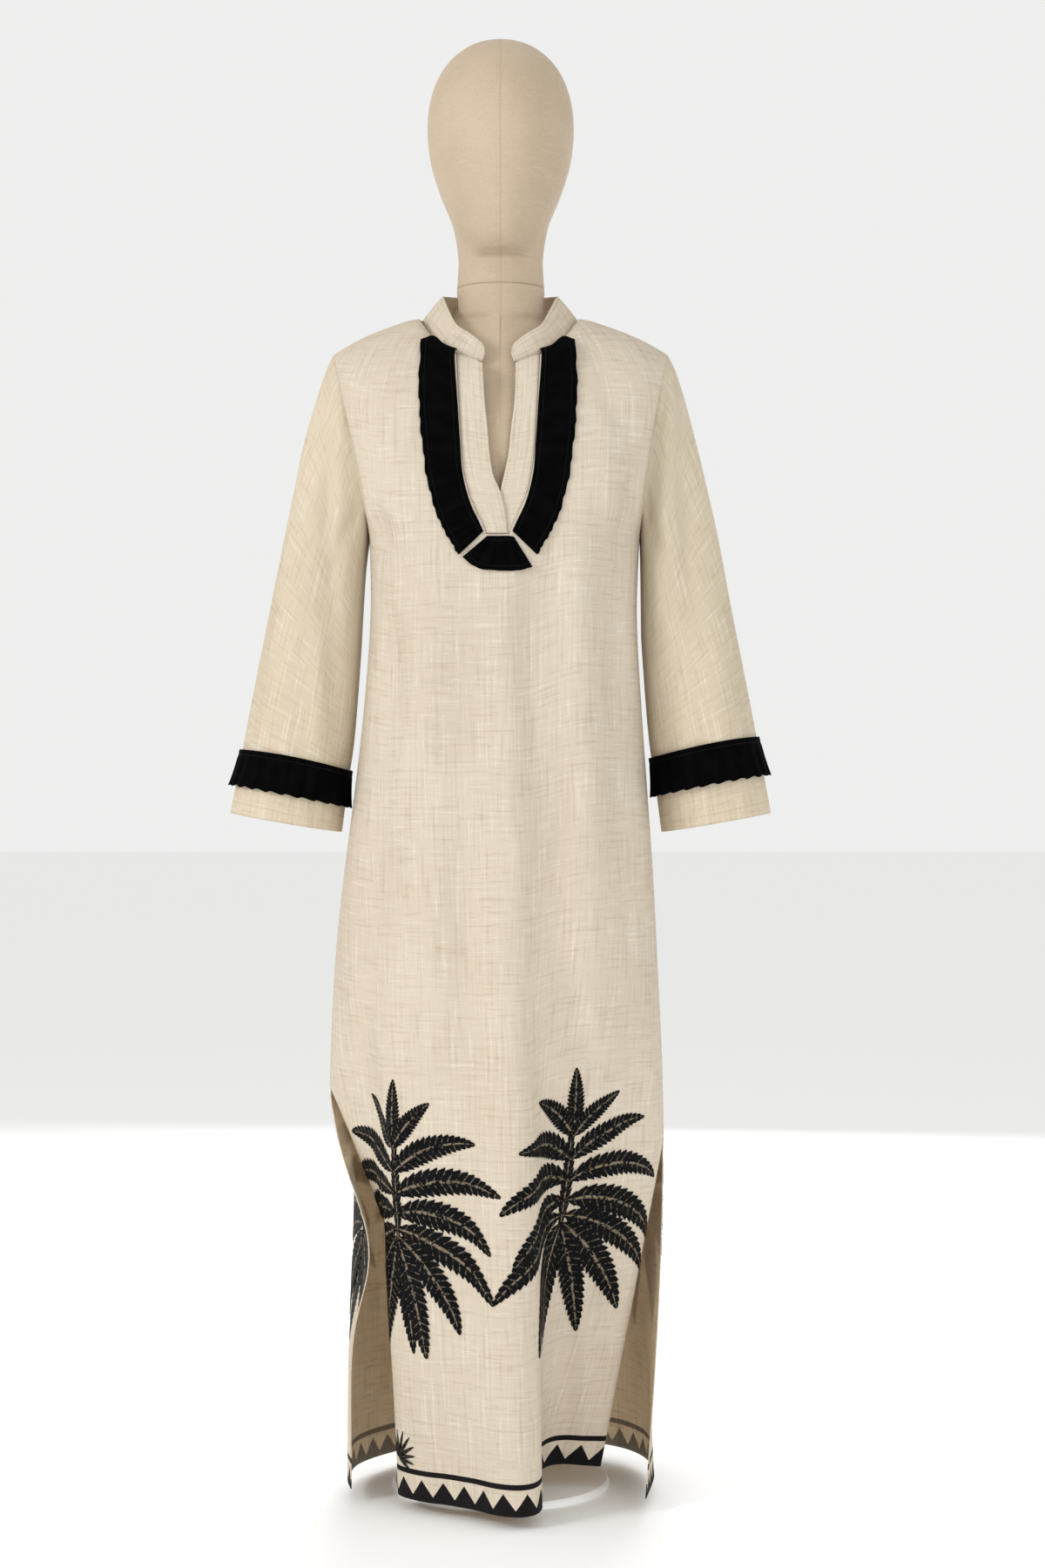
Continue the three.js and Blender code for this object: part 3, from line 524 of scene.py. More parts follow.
def linen(name, border=0.0, tint=(1.0, 1.0, 1.0), glow=0.22):
    shade = Shade(name)
    uv, s, h = shade.thread_lengths()
    weft = shade.noise(uv, (24, 760, 1), 2.0, 0.6)
    warp = shade.noise(uv, (820, 20, 1), 2.0, 0.6, (3.1, 0.7, 0))
    long_weft = shade.noise(uv, (19, 270, 1), 3.0, 0.65, (1.7, 0, 0))
    long_warp = shade.noise(uv, (290, 12, 1), 3.0, 0.65, (0, 2.3, 0))
    slubs = weft.smooth(0.54, 0.72) * 0.8 + warp.smooth(0.55, 0.73) * 0.6
    slubs = slubs + long_weft.smooth(0.53, 0.68) * 0.65 + long_warp.smooth(0.53, 0.67) * 0.8
    thin = (weft.smooth(0.44, 0.30) + warp.smooth(0.43, 0.29)) * 0.35
    thin = thin + (long_weft.smooth(0.47, 0.36) + long_warp.smooth(0.47, 0.36)) * 0.5
    tone = shade.noise(uv, (5, 4, 1), 3.0)
    threads = (s * 5200.0).sine() * (h * 5000.0).sine()
    fleck = shade.noise(uv, (430, 410, 1), 1.0)
    # tint scales the cloth's colour; on the wrong side it brightens it as painted light in the shaded
    # insides
    ivory = (*(c * k for c, k in zip(IVORY, tint)), 1)
    worn = thin.smooth(0.0, 1.1) * 0.7 + fleck.smooth(0.5, 0.8) * 0.14
    layers = [(1.0, ivory), (tone.smooth(0.3, 0.72) * 0.3, IVORY_DEEP),
              (slubs.smooth(0.0, 1.6) * 0.8, SLUB), (worn, IVORY_DEEP)]
    if border:
        ink = INK if border > 0.9 else INK_FADED
        peak = (((s / TRIANGLE_STEP).fract() - 0.5).size() * 2.0)
        teeth = (h - BORDER_FOOT).below((1.0 - peak) * TRIANGLE_TALL) * h.above(BORDER_FOOT)
        foot = h.below(BORDER_FOOT + 0.0004)
        line = h.above(BORDER_LINE[0]) * h.below(BORDER_LINE[1])
        printed = (teeth + foot + line).smooth(0.0, 0.5)
        layers.append((printed * border, ink))
    base = ivory
    for factor, colour in layers[1:]:
        base = shade.blend(factor, base, colour)
    shade.bump(threads * 0.25 + slubs * 0.9 + fleck * 0.6, 0.0004, 0.55)
    shade.let_light_through(layers, glow)
    return shade.finish(Base_Color=base, Roughness=0.92, Sheen_Weight=0.03, Sheen_Roughness=0.6,
                        Specular_IOR_Level=0.08)


LINEN_PRINTED = linen("linen with border", 1.0)
# the wrong side is painted lighter than the cloth, as painted light in its shaded insides; its print is
# paler, as on a real wrong side
LINEN_WRONG_SIDE_PAINTED_LIGHT = linen("linen wrong side painted light", 0.62, (1.2, 1.18, 1.12), 0.5)
LINEN_PLAIN = linen("linen plain")
LINEN_SLEEVE = linen("linen sleeves", tint=(1.0, 0.985, 0.915))

# %% [markdown]
# The front and the back are the two large sheets. The front is cut with a U for the placket: the
# faces between its two neck columns are deleted down to the placket's foot.

# %% Front and back
NECK_STEPS = round(math.asin(NECK_COLUMN) / math.pi * COLUMNS)
neck_first, neck_last = COLUMNS // 2 - NECK_STEPS, COLUMNS // 2 + NECK_STEPS
in_neck = lambda i, j: i < ROWS[0] + ROWS[1] and neck_first <= j < neck_last
toward_front, toward_back = (lambda c: Vector((0, -1, 0))), (lambda c: Vector((0, 1, 0)))


def sheet_piece(name, cloth, hole, toward):
    mesh = grid_mesh(name + "_cloth", (cloth.points, thread_uv(cloth), hole))
    outward(mesh, toward)
    mesh.materials.append(LINEN_PRINTED)
    mesh.materials.append(LINEN_WRONG_SIDE_PAINTED_LIGHT)
    return thick(new_piece(name + "_cloth", mesh, [name + "_panel"]))


front_piece = sheet_piece("front", front, in_neck, toward_front)
back_piece = sheet_piece("back", back, None, toward_back)


def cut_size(cloth, missing=0.0):
    """Width and length of the cloth laid flat, in metres, and its area, from its own threads."""
    p = cloth.points * MM
    wide, tall = (np.linalg.norm(np.diff(p, axis=k), axis=-1).sum(k).max() for k in (1, 0))
    area = np.linalg.norm(np.cross(p[1:, :-1] - p[:-1, :-1], p[:-1, 1:] - p[:-1, :-1]), axis=-1)
    return (round(float(wide), 3), round(float(tall), 3)), float(area.sum()) - missing


def declare(piece, cloth, rests_on, missing=0.0):
    flat, area = cut_size(cloth, missing)
    area = round(min(max(area, 0.31 * flat[0] * flat[1]), flat[0] * flat[1]), 4)
    print(piece.name, "laid flat, metres:", flat, "area", area)


# %% [markdown]
# The sleeve is a tube sewn to a straight armhole. Its ring at the top is the armhole's own edge, and
# within a hand's width it turns into the oval that it hangs in. Its creases are placed the same way,
# and its back half has the other sleeve's, mirrored.

# %% Sleeves
ARMHOLE_GAP, ARMHOLE_ROWS, SLEEVE_COLUMNS = 0.35, 10, 96
SLEEVE = table("outer_x outer_z inner_x inner_z depth y free", (191, 1300, 150, 1085, 47, 2, 0),
    (207, 1270, 153, 1066, 50, 2, 0.45), (217, 1232, 155.5, 1042, 53, 3, 0.85),
    (232, 1166, 158, 1000, 56, 4, 1), (249, 1088, 161, 950, 58, 6, 1),
    (279, 940, 168, 862, 62, 8, 1), (295, 858, 176, 806, 64, 9, 1), (311, 774, 183, 752, 66, 10, 1))
LEFT_CREASES = ((-198, 1262, -197, 1115, -5.5, 11), (-194, 1115, -188, 960, -4.5, 12),
    (-190, 960, -178, 800, -3.6, 14), (-222, 1215, -236, 1060, 3.2, 14), (-240, 1010, -262, 820, 3.4, 17),
    (-166, 1108, -190, 1040, -4.0, 9), (-214, 1040, -222, 800, -2.8, 16),
    (-262, 1050, -290, 880, -2.4, 12), (-206, 900, -216, 770, 2.6, 12))
RIGHT_CREASES = ((193, 1268, 186, 1100, 4.2, 12), (184, 1100, 178, 950, 3.4, 13),
    (208, 1250, 212, 1080, -4.4, 12), (214, 1060, 232, 800, -4.0, 16),
    (240, 1130, 262, 900, 3.2, 16), (168, 1104, 192, 1034, -3.6, 9), (188, 930, 200, 770, -3.0, 14),
    (270, 960, 292, 800, -2.4, 13), (246, 860, 256, 765, 2.6, 13))


def level_of_row(side, angle, row):
    """The level at a row of the armhole: half its rows lie above the chest and half below."""
    hem_z = along(FRONT_HEM if side == "front" else BACK_HEM, "z", np.sin(angle), "c")
    share, foot = row * 2 / ARMHOLE_ROWS, (CHEST_Z - PLACKET_Z) / (CHEST_Z - hem_z)
    return np.where(share <= 1, share, 1 + foot * (share - 1))


def sleeve_points(side, turn, down):
    v = {key: rung(SLEEVE, key, down) for key in SLEEVE}
    swing = np.cos(turn)
    extra = mix(9, 2, np.clip(down * 2, 0, 1)) * np.clip((1 - swing) / 2, 0, 1) * (side > 0)
    x = (v["outer_x"] + v["inner_x"]) / 2 + (v["outer_x"] - v["inner_x"]) / 2 * swing + extra
    z = (v["outer_z"] + v["inner_z"]) / 2 + (v["outer_z"] - v["inner_z"]) / 2 * swing
    oval = np.stack([side * x, v["y"] - v["depth"] * np.sin(turn), z], -1)
    row = ARMHOLE_ROWS * (math.pi - np.abs(math.pi - turn)) / math.pi
    angle = side * math.pi / 2 + 0 * turn
    seams = [panel_point(name, angle, level_of_row(name, angle, row)) for name in ("front", "back")]
    seam = np.where(np.sin(turn)[..., None] >= 0, *seams)
    seam[..., 0] += side * ARMHOLE_GAP
    return mix(seam, oval, np.clip(v["free"], 0, 1)[..., None])


def sleeve_cloth(side):
    turn, down = np.meshgrid(np.linspace(0, 2 * math.pi, SLEEVE_COLUMNS + 1), np.linspace(0, 1, 121))
    points = sleeve_points(side, turn, down)
    points[:, -1] = points[:, 0]
    plain = Cloth(points, tube=True)
    near, far = (LEFT_CREASES, RIGHT_CREASES) if side < 0 else (RIGHT_CREASES, LEFT_CREASES)
    mirrored = points * (-1, 1, 1)
    depth = creases(points, near) * ease(np.sin(turn) / 0.4)
    depth = depth + creases(mirrored, far) * ease(-np.sin(turn) / 0.4) * 0.9
    depth = depth * ease((down - 0.1) / 0.12) * (1 - 0.85 * ease((down - 0.83) / 0.03))
    moved = points + plain.normals * depth[..., None]
    moved[:, -1] = moved[:, 0]
    fallen = np.cumsum(np.linalg.norm(np.diff(moved, axis=0), axis=-1), axis=0).mean(1)
    height = (fallen[-1] - np.concatenate([[0], fallen]))[:, None] + 0 * turn
    return Cloth(moved, above_hem=height, tube=True)


def away_from_middle(points):
    middle = Vector(points.mean((0, 1))) * MM
    return lambda c: Vector((c.x - middle.x, c.y - middle.y, 0))


sleeves = {}
for side, name in SIDES:
    cloth = sleeves[side] = sleeve_cloth(side)
    mesh = grid_mesh("sleeve_cloth_" + name, (cloth.points, thread_uv(cloth)), wraps=True)
    outward(mesh, away_from_middle(cloth.points))
    mesh.materials.append(LINEN_SLEEVE)
    piece = thick(new_piece("sleeve_cloth_" + name, mesh, ["sleeve_" + name]), inside=0)
    declare(piece, cloth, [front_piece, back_piece])

# %% [markdown]
# A point of the front is found from where it is seen: the height gives the level at once, and a few
# Newton steps give the column. The trims and plackets are laid on the front this way.


# %% Laying a thing on the front
def level_at(angle, z):
    raw = np.sin(angle)
    top_x = SHOULDER_HALF * slide(raw, FRONT_TOP["z"][0], SHOULDER_HALF)
    reach = np.maximum(np.abs(top_x), FRONT_TOP["x"][0])
    top_z = along(FRONT_TOP, "z", reach, "x")
    over = np.arccos(np.clip(1 - (top_z - z) / (top_z - CHEST_Z), -1, 1)) * 2 / math.pi
    hem_z = along(FRONT_HEM, "z", raw, "c")
    return np.where(z > CHEST_Z, over, 1 + (CHEST_Z - z) / (CHEST_Z - hem_z))


def on_front(x, z, out):
    angle, step, near = x / 170, 0.01, 0.002
    for _ in range(9):
        level = level_at(angle, z)
        here = panel_point("front", angle, level)[..., 0]
        beside = panel_point("front", angle + step, level)[..., 0]
        angle = angle + (x - here) * step / (beside - here)
    spot = lambda a, b: panel_point("front", angle + a, level + b)
    normal = np.cross(spot(0, near) - spot(0, -near), spot(near, 0) - spot(-near, 0))
    normal = normal / np.linalg.norm(normal, axis=-1, keepdims=True)
    return spot(0, 0) + normal * np.asarray(out + 0 * x)[..., None]


# %% [markdown]
# Pleated ribbon is black grosgrain laid in small knife pleats. Round the neck a line of stitches
# holds it near each edge, and on a cuff near the upper one only. A pleat rises slowly and drops at
# once, so its section is a rounded sawtooth, and the stitched lines press it flat.

# %% Ribbon
LIFT, TRIM_WALL, TRIM_TOTAL, PLEAT_POINTS = 0.8, 1.5, 3.2, 12
RIBBON_OUT, RIBBON_WALL = LIFT + TRIM_WALL - 0.3, 1.0
NECK_PLEATS, FOOT_PLEATS, CUFF_PLEATS = 14, 5, 24
CORNERS = "inner_x inner_z outer_x outer_z"
NECK_RIBBON = table(CORNERS, (49, 1291, 86, 1299), (45, 1236, 87.2, 1240), (42, 1190, 84, 1192),
    (39, 1152, 77, 1142), (31, 1120, 66, 1104), (21, 1098, 54, 1080), (16, 1087, 43, 1061))
FOOT_RIBBON = table(CORNERS, (-14, 1081.5, -41.5, 1058), (-8, 1081.5, -24, 1046),
    (1, 1081.5, 1, 1043), (10, 1081.5, 22, 1043.5), (15.5, 1080.5, 36, 1047.5))
# how far down the sleeve a cuff ribbon's upper and lower edges lie, each at the inside and outside
FRILLS = {-1: ((0.812, 0.877), (0.921, 0.944)), 1: ((0.772, 0.852), (0.889, 0.925))}


def sawtooth(phase):
    p = np.mod(phase, 1.0)
    return np.where(p < 0.78, ease(p / 0.78), 1 - ease((p - 0.78) / 0.22))


def ribbon_material():
    shade = Shade("pleated ribbon")
    uv, s, _ = shade.thread_lengths()
    ribs = (s * 4600.0).sine()
    dust = shade.noise(uv, (900, 700, 1), 2.0)
    fade = shade.noise(uv, (60, 30, 1), 2.0)
    black, faded = (0.0012, 0.0012, 0.0014, 1), (0.003, 0.003, 0.003, 1)
    base = shade.blend(fade.smooth(0.35, 0.75) * 0.6, black, faded)
    base = shade.blend(dust.smooth(0.66, 0.84) * 0.12, base, (0.05, 0.046, 0.045, 1))
    shade.bump(ribs * 0.5 + dust * 0.8, 0.0003, 0.5)
    return shade.finish(Base_Color=base, Roughness=0.8, Specular_IOR_Level=0.02)


RIBBON = ribbon_material()


def lengths_uv(points):
    along_it = np.linalg.norm(np.diff(points, axis=1), axis=-1).mean(0)
    over_it = np.linalg.norm(np.diff(points, axis=0), axis=-1).mean(1)
    u, v = (np.concatenate([[0], np.cumsum(k)]) for k in (along_it, over_it))
    return np.stack(np.meshgrid(u, v), -1) * MM


def strip(name, points, replaces, toward, material, wall=WALL, wraps=False):
    mesh = grid_mesh(name, (points, lengths_uv(points)), wraps=wraps)
    outward(mesh, toward)
    mesh.materials.append(material)
    return thick(new_piece(name, mesh, replaces), wall, inside=0)


def neck_ribbon(rows, side, pleats):
    t, u = np.meshgrid(np.linspace(0, 1, pleats * PLEAT_POINTS + 1), np.linspace(0, 1, 17))
    fold = sawtooth(t * pleats + (0.0 if side >= 0 else 0.3))
    pressed = bell(u - 0.13, 0.045) + bell(u - 0.87, 0.045)
    stands = fold * (TRIM_TOTAL - TRIM_WALL) * (1 - 0.8 * pressed) * mix(0.4, 1.0, ease(u / 0.12))
    wave = (fold * 0.8 - 0.4 * np.sin(t * 37)) * ease((u - 0.86) / 0.14)
    place = {key: rung(rows, key, t) for key in rows}
    shift = NECK_X if side else 0
    turn = side if side else 1
    x = mix(shift + turn * place["inner_x"], shift + turn * place["outer_x"], u) + side * wave
    peak = 10 * bell(u - 0.70, 0.27) * (1 - t) ** 14 * abs(side)
    z = mix(place["inner_z"], place["outer_z"], u) - 0.4 * wave + peak
    return on_front(x, z, RIBBON_OUT + stands + (3.2 * (1 - t) ** 6 if side else 0))


ribbons = {}
for rows, side, pleats, name in ((NECK_RIBBON, -1, NECK_PLEATS, "left"),
                                 (NECK_RIBBON, 1, NECK_PLEATS, "right"),
                                 (FOOT_RIBBON, 0, FOOT_PLEATS, "bottom")):
    points = ribbons[name] = neck_ribbon(rows, side, pleats)
    piece = strip("neck_ribbon_" + name, points, ["neck_trim_" + name], toward_front, RIBBON,
                  RIBBON_WALL)
    declare(piece, Cloth(points), [front_piece])


def cuff_ribbon(side):
    steps = CUFF_PLEATS * PLEAT_POINTS + 1
    turn, u = np.meshgrid(np.linspace(0, 2 * math.pi, steps), np.linspace(0, 1, 15))
    fold = sawtooth(turn / (2 * math.pi) * CUFF_PLEATS)
    outside = (1 + np.cos(turn)) / 2
    top, bottom = FRILLS[side]
    down = mix(mix(*top, outside), mix(*bottom, outside) + 0.004 * fold, u)
    points = sleeve_points(side, turn, down)
    points[:, -1] = points[:, 0]
    plain = Cloth(points, tube=True)
    stands = 2.6 * fold * np.sqrt(u) * (1 - 0.85 * bell(u - 0.14, 0.05))
    off = RIBBON_OUT + 1.2 * (1 - u) + 4.5 * u ** 2 + stands
    moved = points + plain.normals * (off * mix(1.0, 0.94 + 0.06 * np.sin(5 * turn), u))[..., None]
    moved[:, -1] = moved[:, 0]
    return moved


for side, name in SIDES:
    points = ribbons["cuff " + name] = cuff_ribbon(side)
    piece = strip("cuff_ribbon_" + name, points, ["cuff_trim_" + name], away_from_middle(points),
                  RIBBON, RIBBON_WALL, True)
    declare(piece, Cloth(points), ["sleeve_cloth_" + name])

# %% [markdown]
# The two placket bands fill the U from its cut edge to their own folded inner edges, which meet at
# the bottom with the left one on top. The collar is one band round the neck, a little slanted in.

# %% Plackets and collar
PLACKET = table("z left right", (1274, -19.5, 17.2), (1236, -17.2, 16.3), (1202, -13.8, 12.4),
    (1174, -11.4, 9.5), (1150, -7.6, 4.7), (1131, 0.4, 0.4), (1108, 6.0, -2.0), (1085.5, 8.5, -5.5))
COLLAR = table("low_x low_y low_z top_x top_y top_z", (17.5, -80.5, 1279.5, 14.5, -79, 1289),
    (24, -80, 1281, 17.5, -78, 1300), (46, -74, 1290.5, 33, -75, 1313), (62, -60, 1301.5, 48, -65, 1324),
    (76, -38, 1316.5, 58, -42, 1345), (86, -12, 1333, 64.5, -8, 1364), (86, 14, 1343, 65, 22, 1370),
    (66, 43, 1344.5, 50, 46, 1373), (36, 60, 1345, 27, 59, 1374), (0, 67, 1345, 0, 64, 1374))


def placket_points(side):
    across, row = np.meshgrid(np.linspace(0, 1, 17), np.linspace(0, ARMHOLE_ROWS, 81))
    angle = side * math.asin(NECK_COLUMN) + 0 * row
    cut = panel_point("front", angle, level_of_row("front", angle, row))
    bottom = PLACKET_Z + 2 * SEAM
    down = (NECK_CUT["z"][0] - cut[..., 2]) / (NECK_CUT["z"][0] - PLACKET_Z)
    z = mix(np.maximum(cut[..., 2], bottom), mix(1277, bottom, down), across)
    inner = along(PLACKET, "left" if side < 0 else "right", z)
    x = mix(cut[..., 0] - side * 0.4, inner, across)
    lap = ease((1150 - z) / 25) * np.clip(across * 3, 0, 1) * (1.2 if side < 0 else -1.6)
    return on_front(x, z, lap)


def collar_points(t, up):
    side, back = np.where(t < 0.5, -1, 1), 1 - np.abs(2 * t - 1)
    low, top = ([rung(COLLAR, end + key, back) for key in "xyz"] for end in ("low_", "top_"))
    x, y, z = (mix(a, b, up) for a, b in zip(low, top))
    bulge = 0.9 * np.sin(math.pi * up) + 1.3 * (1 - up) ** 5
    x = NECK_X * ease(1 - back) + side * (x + bulge * (back > 0.1))
    z = z + SEAM + 0.6 * (1 - up) - 2.0 * (1 - up) ** 5 * (back > 0.1)
    return np.stack([x, y, z], -1)


placket = {}
for side, name in SIDES:
    points = placket[side] = placket_points(side)
    piece = strip("placket_band_" + name, points, ["placket_" + name], toward_front, LINEN_PLAIN)
    declare(piece, Cloth(points), [front_piece])
collar_t, collar_up = np.meshgrid(np.linspace(0, 1, 141), np.linspace(1, 0, 17))
collar_grid = collar_points(collar_t, collar_up)
from_axis = lambda c: Vector((c.x, c.y, 0))
collar_piece = strip("collar_band", collar_grid, ["collar"], from_axis, LINEN_PLAIN)
declare(collar_piece, Cloth(collar_grid), [front_piece, back_piece])

# %% [markdown]
# The motifs are palm crowns worked in black thread. A crown is a common leaf motif, so it is drawn
# here from a rule: leaves in pairs leave a short stem, bend down under their own weight, and have
# leaflets swept towards the tip, with beige thread left between them. It is laid out flat in thread
# lengths and then placed on the cloth, so that it follows every fold.

# %% Palm embroidery
LEAFLETS = 16


def thread_material(name, black):
    shade = Shade(name)
    _, leaflet, across = shade.thread_lengths()
    side = across.size()
    where = shade.object_place()
    worn = shade.noise(where, (260, 260, 260), 2.0)
    gap = leaflet.fract().smooth(0.20, 0.07) * side.smooth(0.10, 0.22) * worn.smooth(0.42, 0.60)
    rib = side.smooth(0.15, 0.07) * worn.smooth(0.40, 0.56)
    stitch = (side * 26.0 + leaflet * 9.0).sine()
    base = shade.blend(worn.smooth(0.4, 0.75), black, (*(c * 2.2 for c in black[:3]), 1))
    base = shade.blend(gap * 0.46 + rib * 0.6, base, (0.33, 0.265, 0.185, 1))
    shade.bump(stitch * 0.3 + worn * 0.5 - gap * 0.8, 0.0006, 0.7)
    return shade.finish(Base_Color=base, Roughness=0.58, Specular_IOR_Level=0.05)


def leaf(lean, reach, broad, bend, stalk=0.02):
    """A leaf flat on the table: lean is its start's angle from straight up, in degrees."""
    path = np.linspace(0, 1, 121)
    heading = np.radians(lean) + np.sign(lean) * np.radians(bend) * path ** 1.1
    limit = np.sign(lean) * np.minimum(np.abs(heading), np.radians(176))
    run = np.stack([np.sin(limit), np.cos(limit)], -1) * reach / 120
    rib = np.concatenate([np.zeros((1, 2)), np.cumsum(run, 0)])[:121]
    t, v = np.meshgrid(np.linspace(0, 1, LEAFLETS * 4 + 1), np.linspace(-1, 1, 9))
    saw = np.mod(t * LEAFLETS, 1.0)
    body = np.clip((t - stalk) / (1 - stalk), 0, 1)
    width = broad * np.sin(math.pi * body ** 0.66) ** 0.62 * (1 - 0.2 * body)
    width = np.maximum(width * (1 + 0.34 * (saw - 0.55) * np.abs(v) ** 2), 1.3 * (1 - body) ** 0.5)
    swept = np.clip(t + 0.075 * np.abs(v) * (width / broad), 0, 1.04)
    x, y = (np.interp(swept, path, rib[:, k]) for k in (0, 1))
    hx, hy = np.interp(swept, path, np.sin(limit)), np.interp(swept, path, np.cos(limit))
    return x + hy * v * width, y - hx * v * width, np.stack([t * LEAFLETS, v], -1)


# start above the middle, lean, length, half breadth and bend of each pair of leaves, from the top
PAIRS = ((92, 30, 74, 11, 30), (66, 48, 104, 14, 52), (42, 62, 126, 16, 62), (20, 78, 138, 17, 64),
         (4, 100, 142, 17.5, 54), (-4, 128, 138, 17.5, 34), (-8, 152, 132, 17, 12))


def crown(seed):
    """Leaves in pairs up a short stem, and one at each end; seed varies their sizes a little."""
    draw = np.random.default_rng(seed)
    leaves = [(0, 172, 134, 16, 4), (-14, 1, 128, 7.5, 1), (96, 3, 74, 11, 4)]
    for start, lean, reach, broad, bend in PAIRS:
        for side in (-1, 1):
            vary = lambda value, share: value * (1 + share * draw.uniform(-1, 1))
            leaves.append((start, side * vary(lean, 0.07), vary(reach, 0.09), vary(broad, 0.08),
                           vary(bend, 0.2)))
    return leaves


def embroider(cloth, s, h, leaves, mirror):
    grids = []
    for order, (start, lean, reach, broad, bend) in enumerate(leaves):
        x, y, uv = leaf(lean, reach, broad, bend)
        points, beside = cloth.place(s + mirror * x, h + start + y, 0.3 + 0.05 * order)
        grids.append((points, uv, lambda i, j, b=beside: b[i:i + 2, j:j + 2].any()))
    return grids


EMBROIDERY = thread_material("black embroidery", (0.0035, 0.0035, 0.004, 1))
TUFT = [(0, lean, 34 - abs(lean - 30) * 0.12, 2.5, 4) for lean in range(-62, 120, 20)]
# each motif's place along the weft and above the hem in millimetres, its leaves and its mirroring
FRONT_MOTIFS = ((-138, 296, crown(4), 1), (114, 290, crown(9), -1), (-158, 44, TUFT, 1))
BACK_MOTIFS = ((-300, 292, crown(12), 1), (-46, 296, crown(21), 1), (206, 290, crown(33), -1))
NECK_CUT_AREA = 0.0135
for name, motifs, cloth, cloth_piece, missing in (
        ("front_palms", FRONT_MOTIFS, front, front_piece, NECK_CUT_AREA),
        ("back_palms", BACK_MOTIFS, back, back_piece, 0)):
    mesh = grid_mesh(name, *(grid for motif in motifs for grid in embroider(cloth, *motif)))
    bm = bmesh.new()
    bm.from_mesh(mesh)
    bmesh.ops.recalc_face_normals(bm, faces=bm.faces)
    bm.to_mesh(mesh)
    bm.free()
    mesh.materials.append(EMBROIDERY)
    palms = new_piece(name, mesh)
    declare(cloth_piece, cloth, ["bust_canvas"], missing=missing)
    print(name, "faces:", len(mesh.polygons))

# %% [markdown]
# Topstitching holds the plackets, the collar, the cuffs and the slits. Each stitch is a small bead
# of thread, stretched along its line, and all of one colour are one mesh.

# %% Stitches
def stitch_line(points, normals, pitch):
    """Places, directions and normals every pitch millimetres along a row of points."""
    steps = np.linalg.norm(np.diff(points, axis=0), axis=-1)
    run = np.concatenate([[0], np.cumsum(steps)])
    marks = np.arange(pitch / 2, run[-1], pitch)
    spots = np.stack([np.interp(marks, run, points[:, k]) for k in range(3)], -1)
    ups = np.stack([np.interp(marks, run, normals[:, k]) for k in range(3)], -1)
    ways = np.gradient(spots, axis=0)
    return list(zip(spots, ways, ups))


def stitches(name, lines, material, size=(1.25, 0.32, 0.22)):
    bm = bmesh.new()
    for spot, way, up in (stitch for line in lines for stitch in line):
        forward, out = Vector(way).normalized(), Vector(up).normalized()
        side = out.cross(forward).normalized()
        turn = Matrix((forward, side, out)).transposed().to_4x4()
        scale = Matrix.Diagonal((*(k * MM for k in size), 1))
        matrix = Matrix.Translation(Vector(spot) * MM + out * 0.0002) @ turn @ scale
        bmesh.ops.create_icosphere(bm, subdivisions=1, radius=1, matrix=matrix)
    mesh = mesh_from(bm, name, material)
    print(name, "faces:", len(mesh.polygons))
    return new_piece(name, mesh)


def sewn(points, rows, columns, toward, pitch=3.4):
    """A line of stitches over a grid, facing toward, which may depend on the places."""
    spot, up = Cloth(points).between(rows + 0.0 * columns, columns + 0.0 * rows)
    way = toward(spot) if callable(toward) else toward
    return stitch_line(spot, up * np.where((up * way).sum(-1, keepdims=True) < 0, -1, 1), pitch)


def thread(name, colour):
    shade = Shade(name)
    twist = shade.noise(shade.object_place(), (1500, 1500, 1500), 1.0)
    base = shade.blend(twist.smooth(0.4, 0.65), colour, (*(k * 0.7 for k in colour[:3]), 1))
    return shade.finish(Base_Color=base, Roughness=0.7, Specular_IOR_Level=0.2)


ECRU_THREAD = thread("ecru thread", (0.60, 0.49, 0.34, 1))
BLACK_THREAD = thread("black thread", (0.012, 0.011, 0.012, 1))
FORWARD = np.array([0, -1, 0])
outward_ring = lambda spot: spot - spot.mean(0)
ecru, black = [], []
for side, _ in SIDES:
    for column in (1.2, 14.2):
        ecru.append(sewn(placket[side], np.linspace(2, 78, 120), column, FORWARD))
for row in (1.8, 14.2):
    ecru.append(sewn(collar_grid, row, np.linspace(3, 137, 260), lambda spot: spot * (1, 1, 0)))
for cloth in sleeves.values():
    ecru.append(sewn(cloth.points, 117.2, np.linspace(0, SLEEVE_COLUMNS, 200), outward_ring))
for name, points in ribbons.items():
    cuff, ends = name.startswith("cuff"), np.linspace(0.5, points.shape[1] - 1.5, 220)
    for row in ((2.0,) if cuff else (2.1, 13.9)):
        black.append(sewn(points, row, ends, outward_ring if cuff else FORWARD, 2.8))
for cloth in (front, back):
    for column in (1.6, cloth.points.shape[1] - 2.6):
        rows = np.linspace(150, 223, 160)
        ecru.append(stitch_line(*cloth.between(rows, column + 0 * rows), 3.4))
stitches("ecru_stitches", ecru, ECRU_THREAD)
stitches("black_stitches", black, BLACK_THREAD, (1.1, 0.34, 0.26))

# %% [markdown]
# The form is a bust and an egg-shaped head under stretched canvas, with a seam down the middle and
# one round the neck. Rings are closer together beside the middle seam, where it needs them.

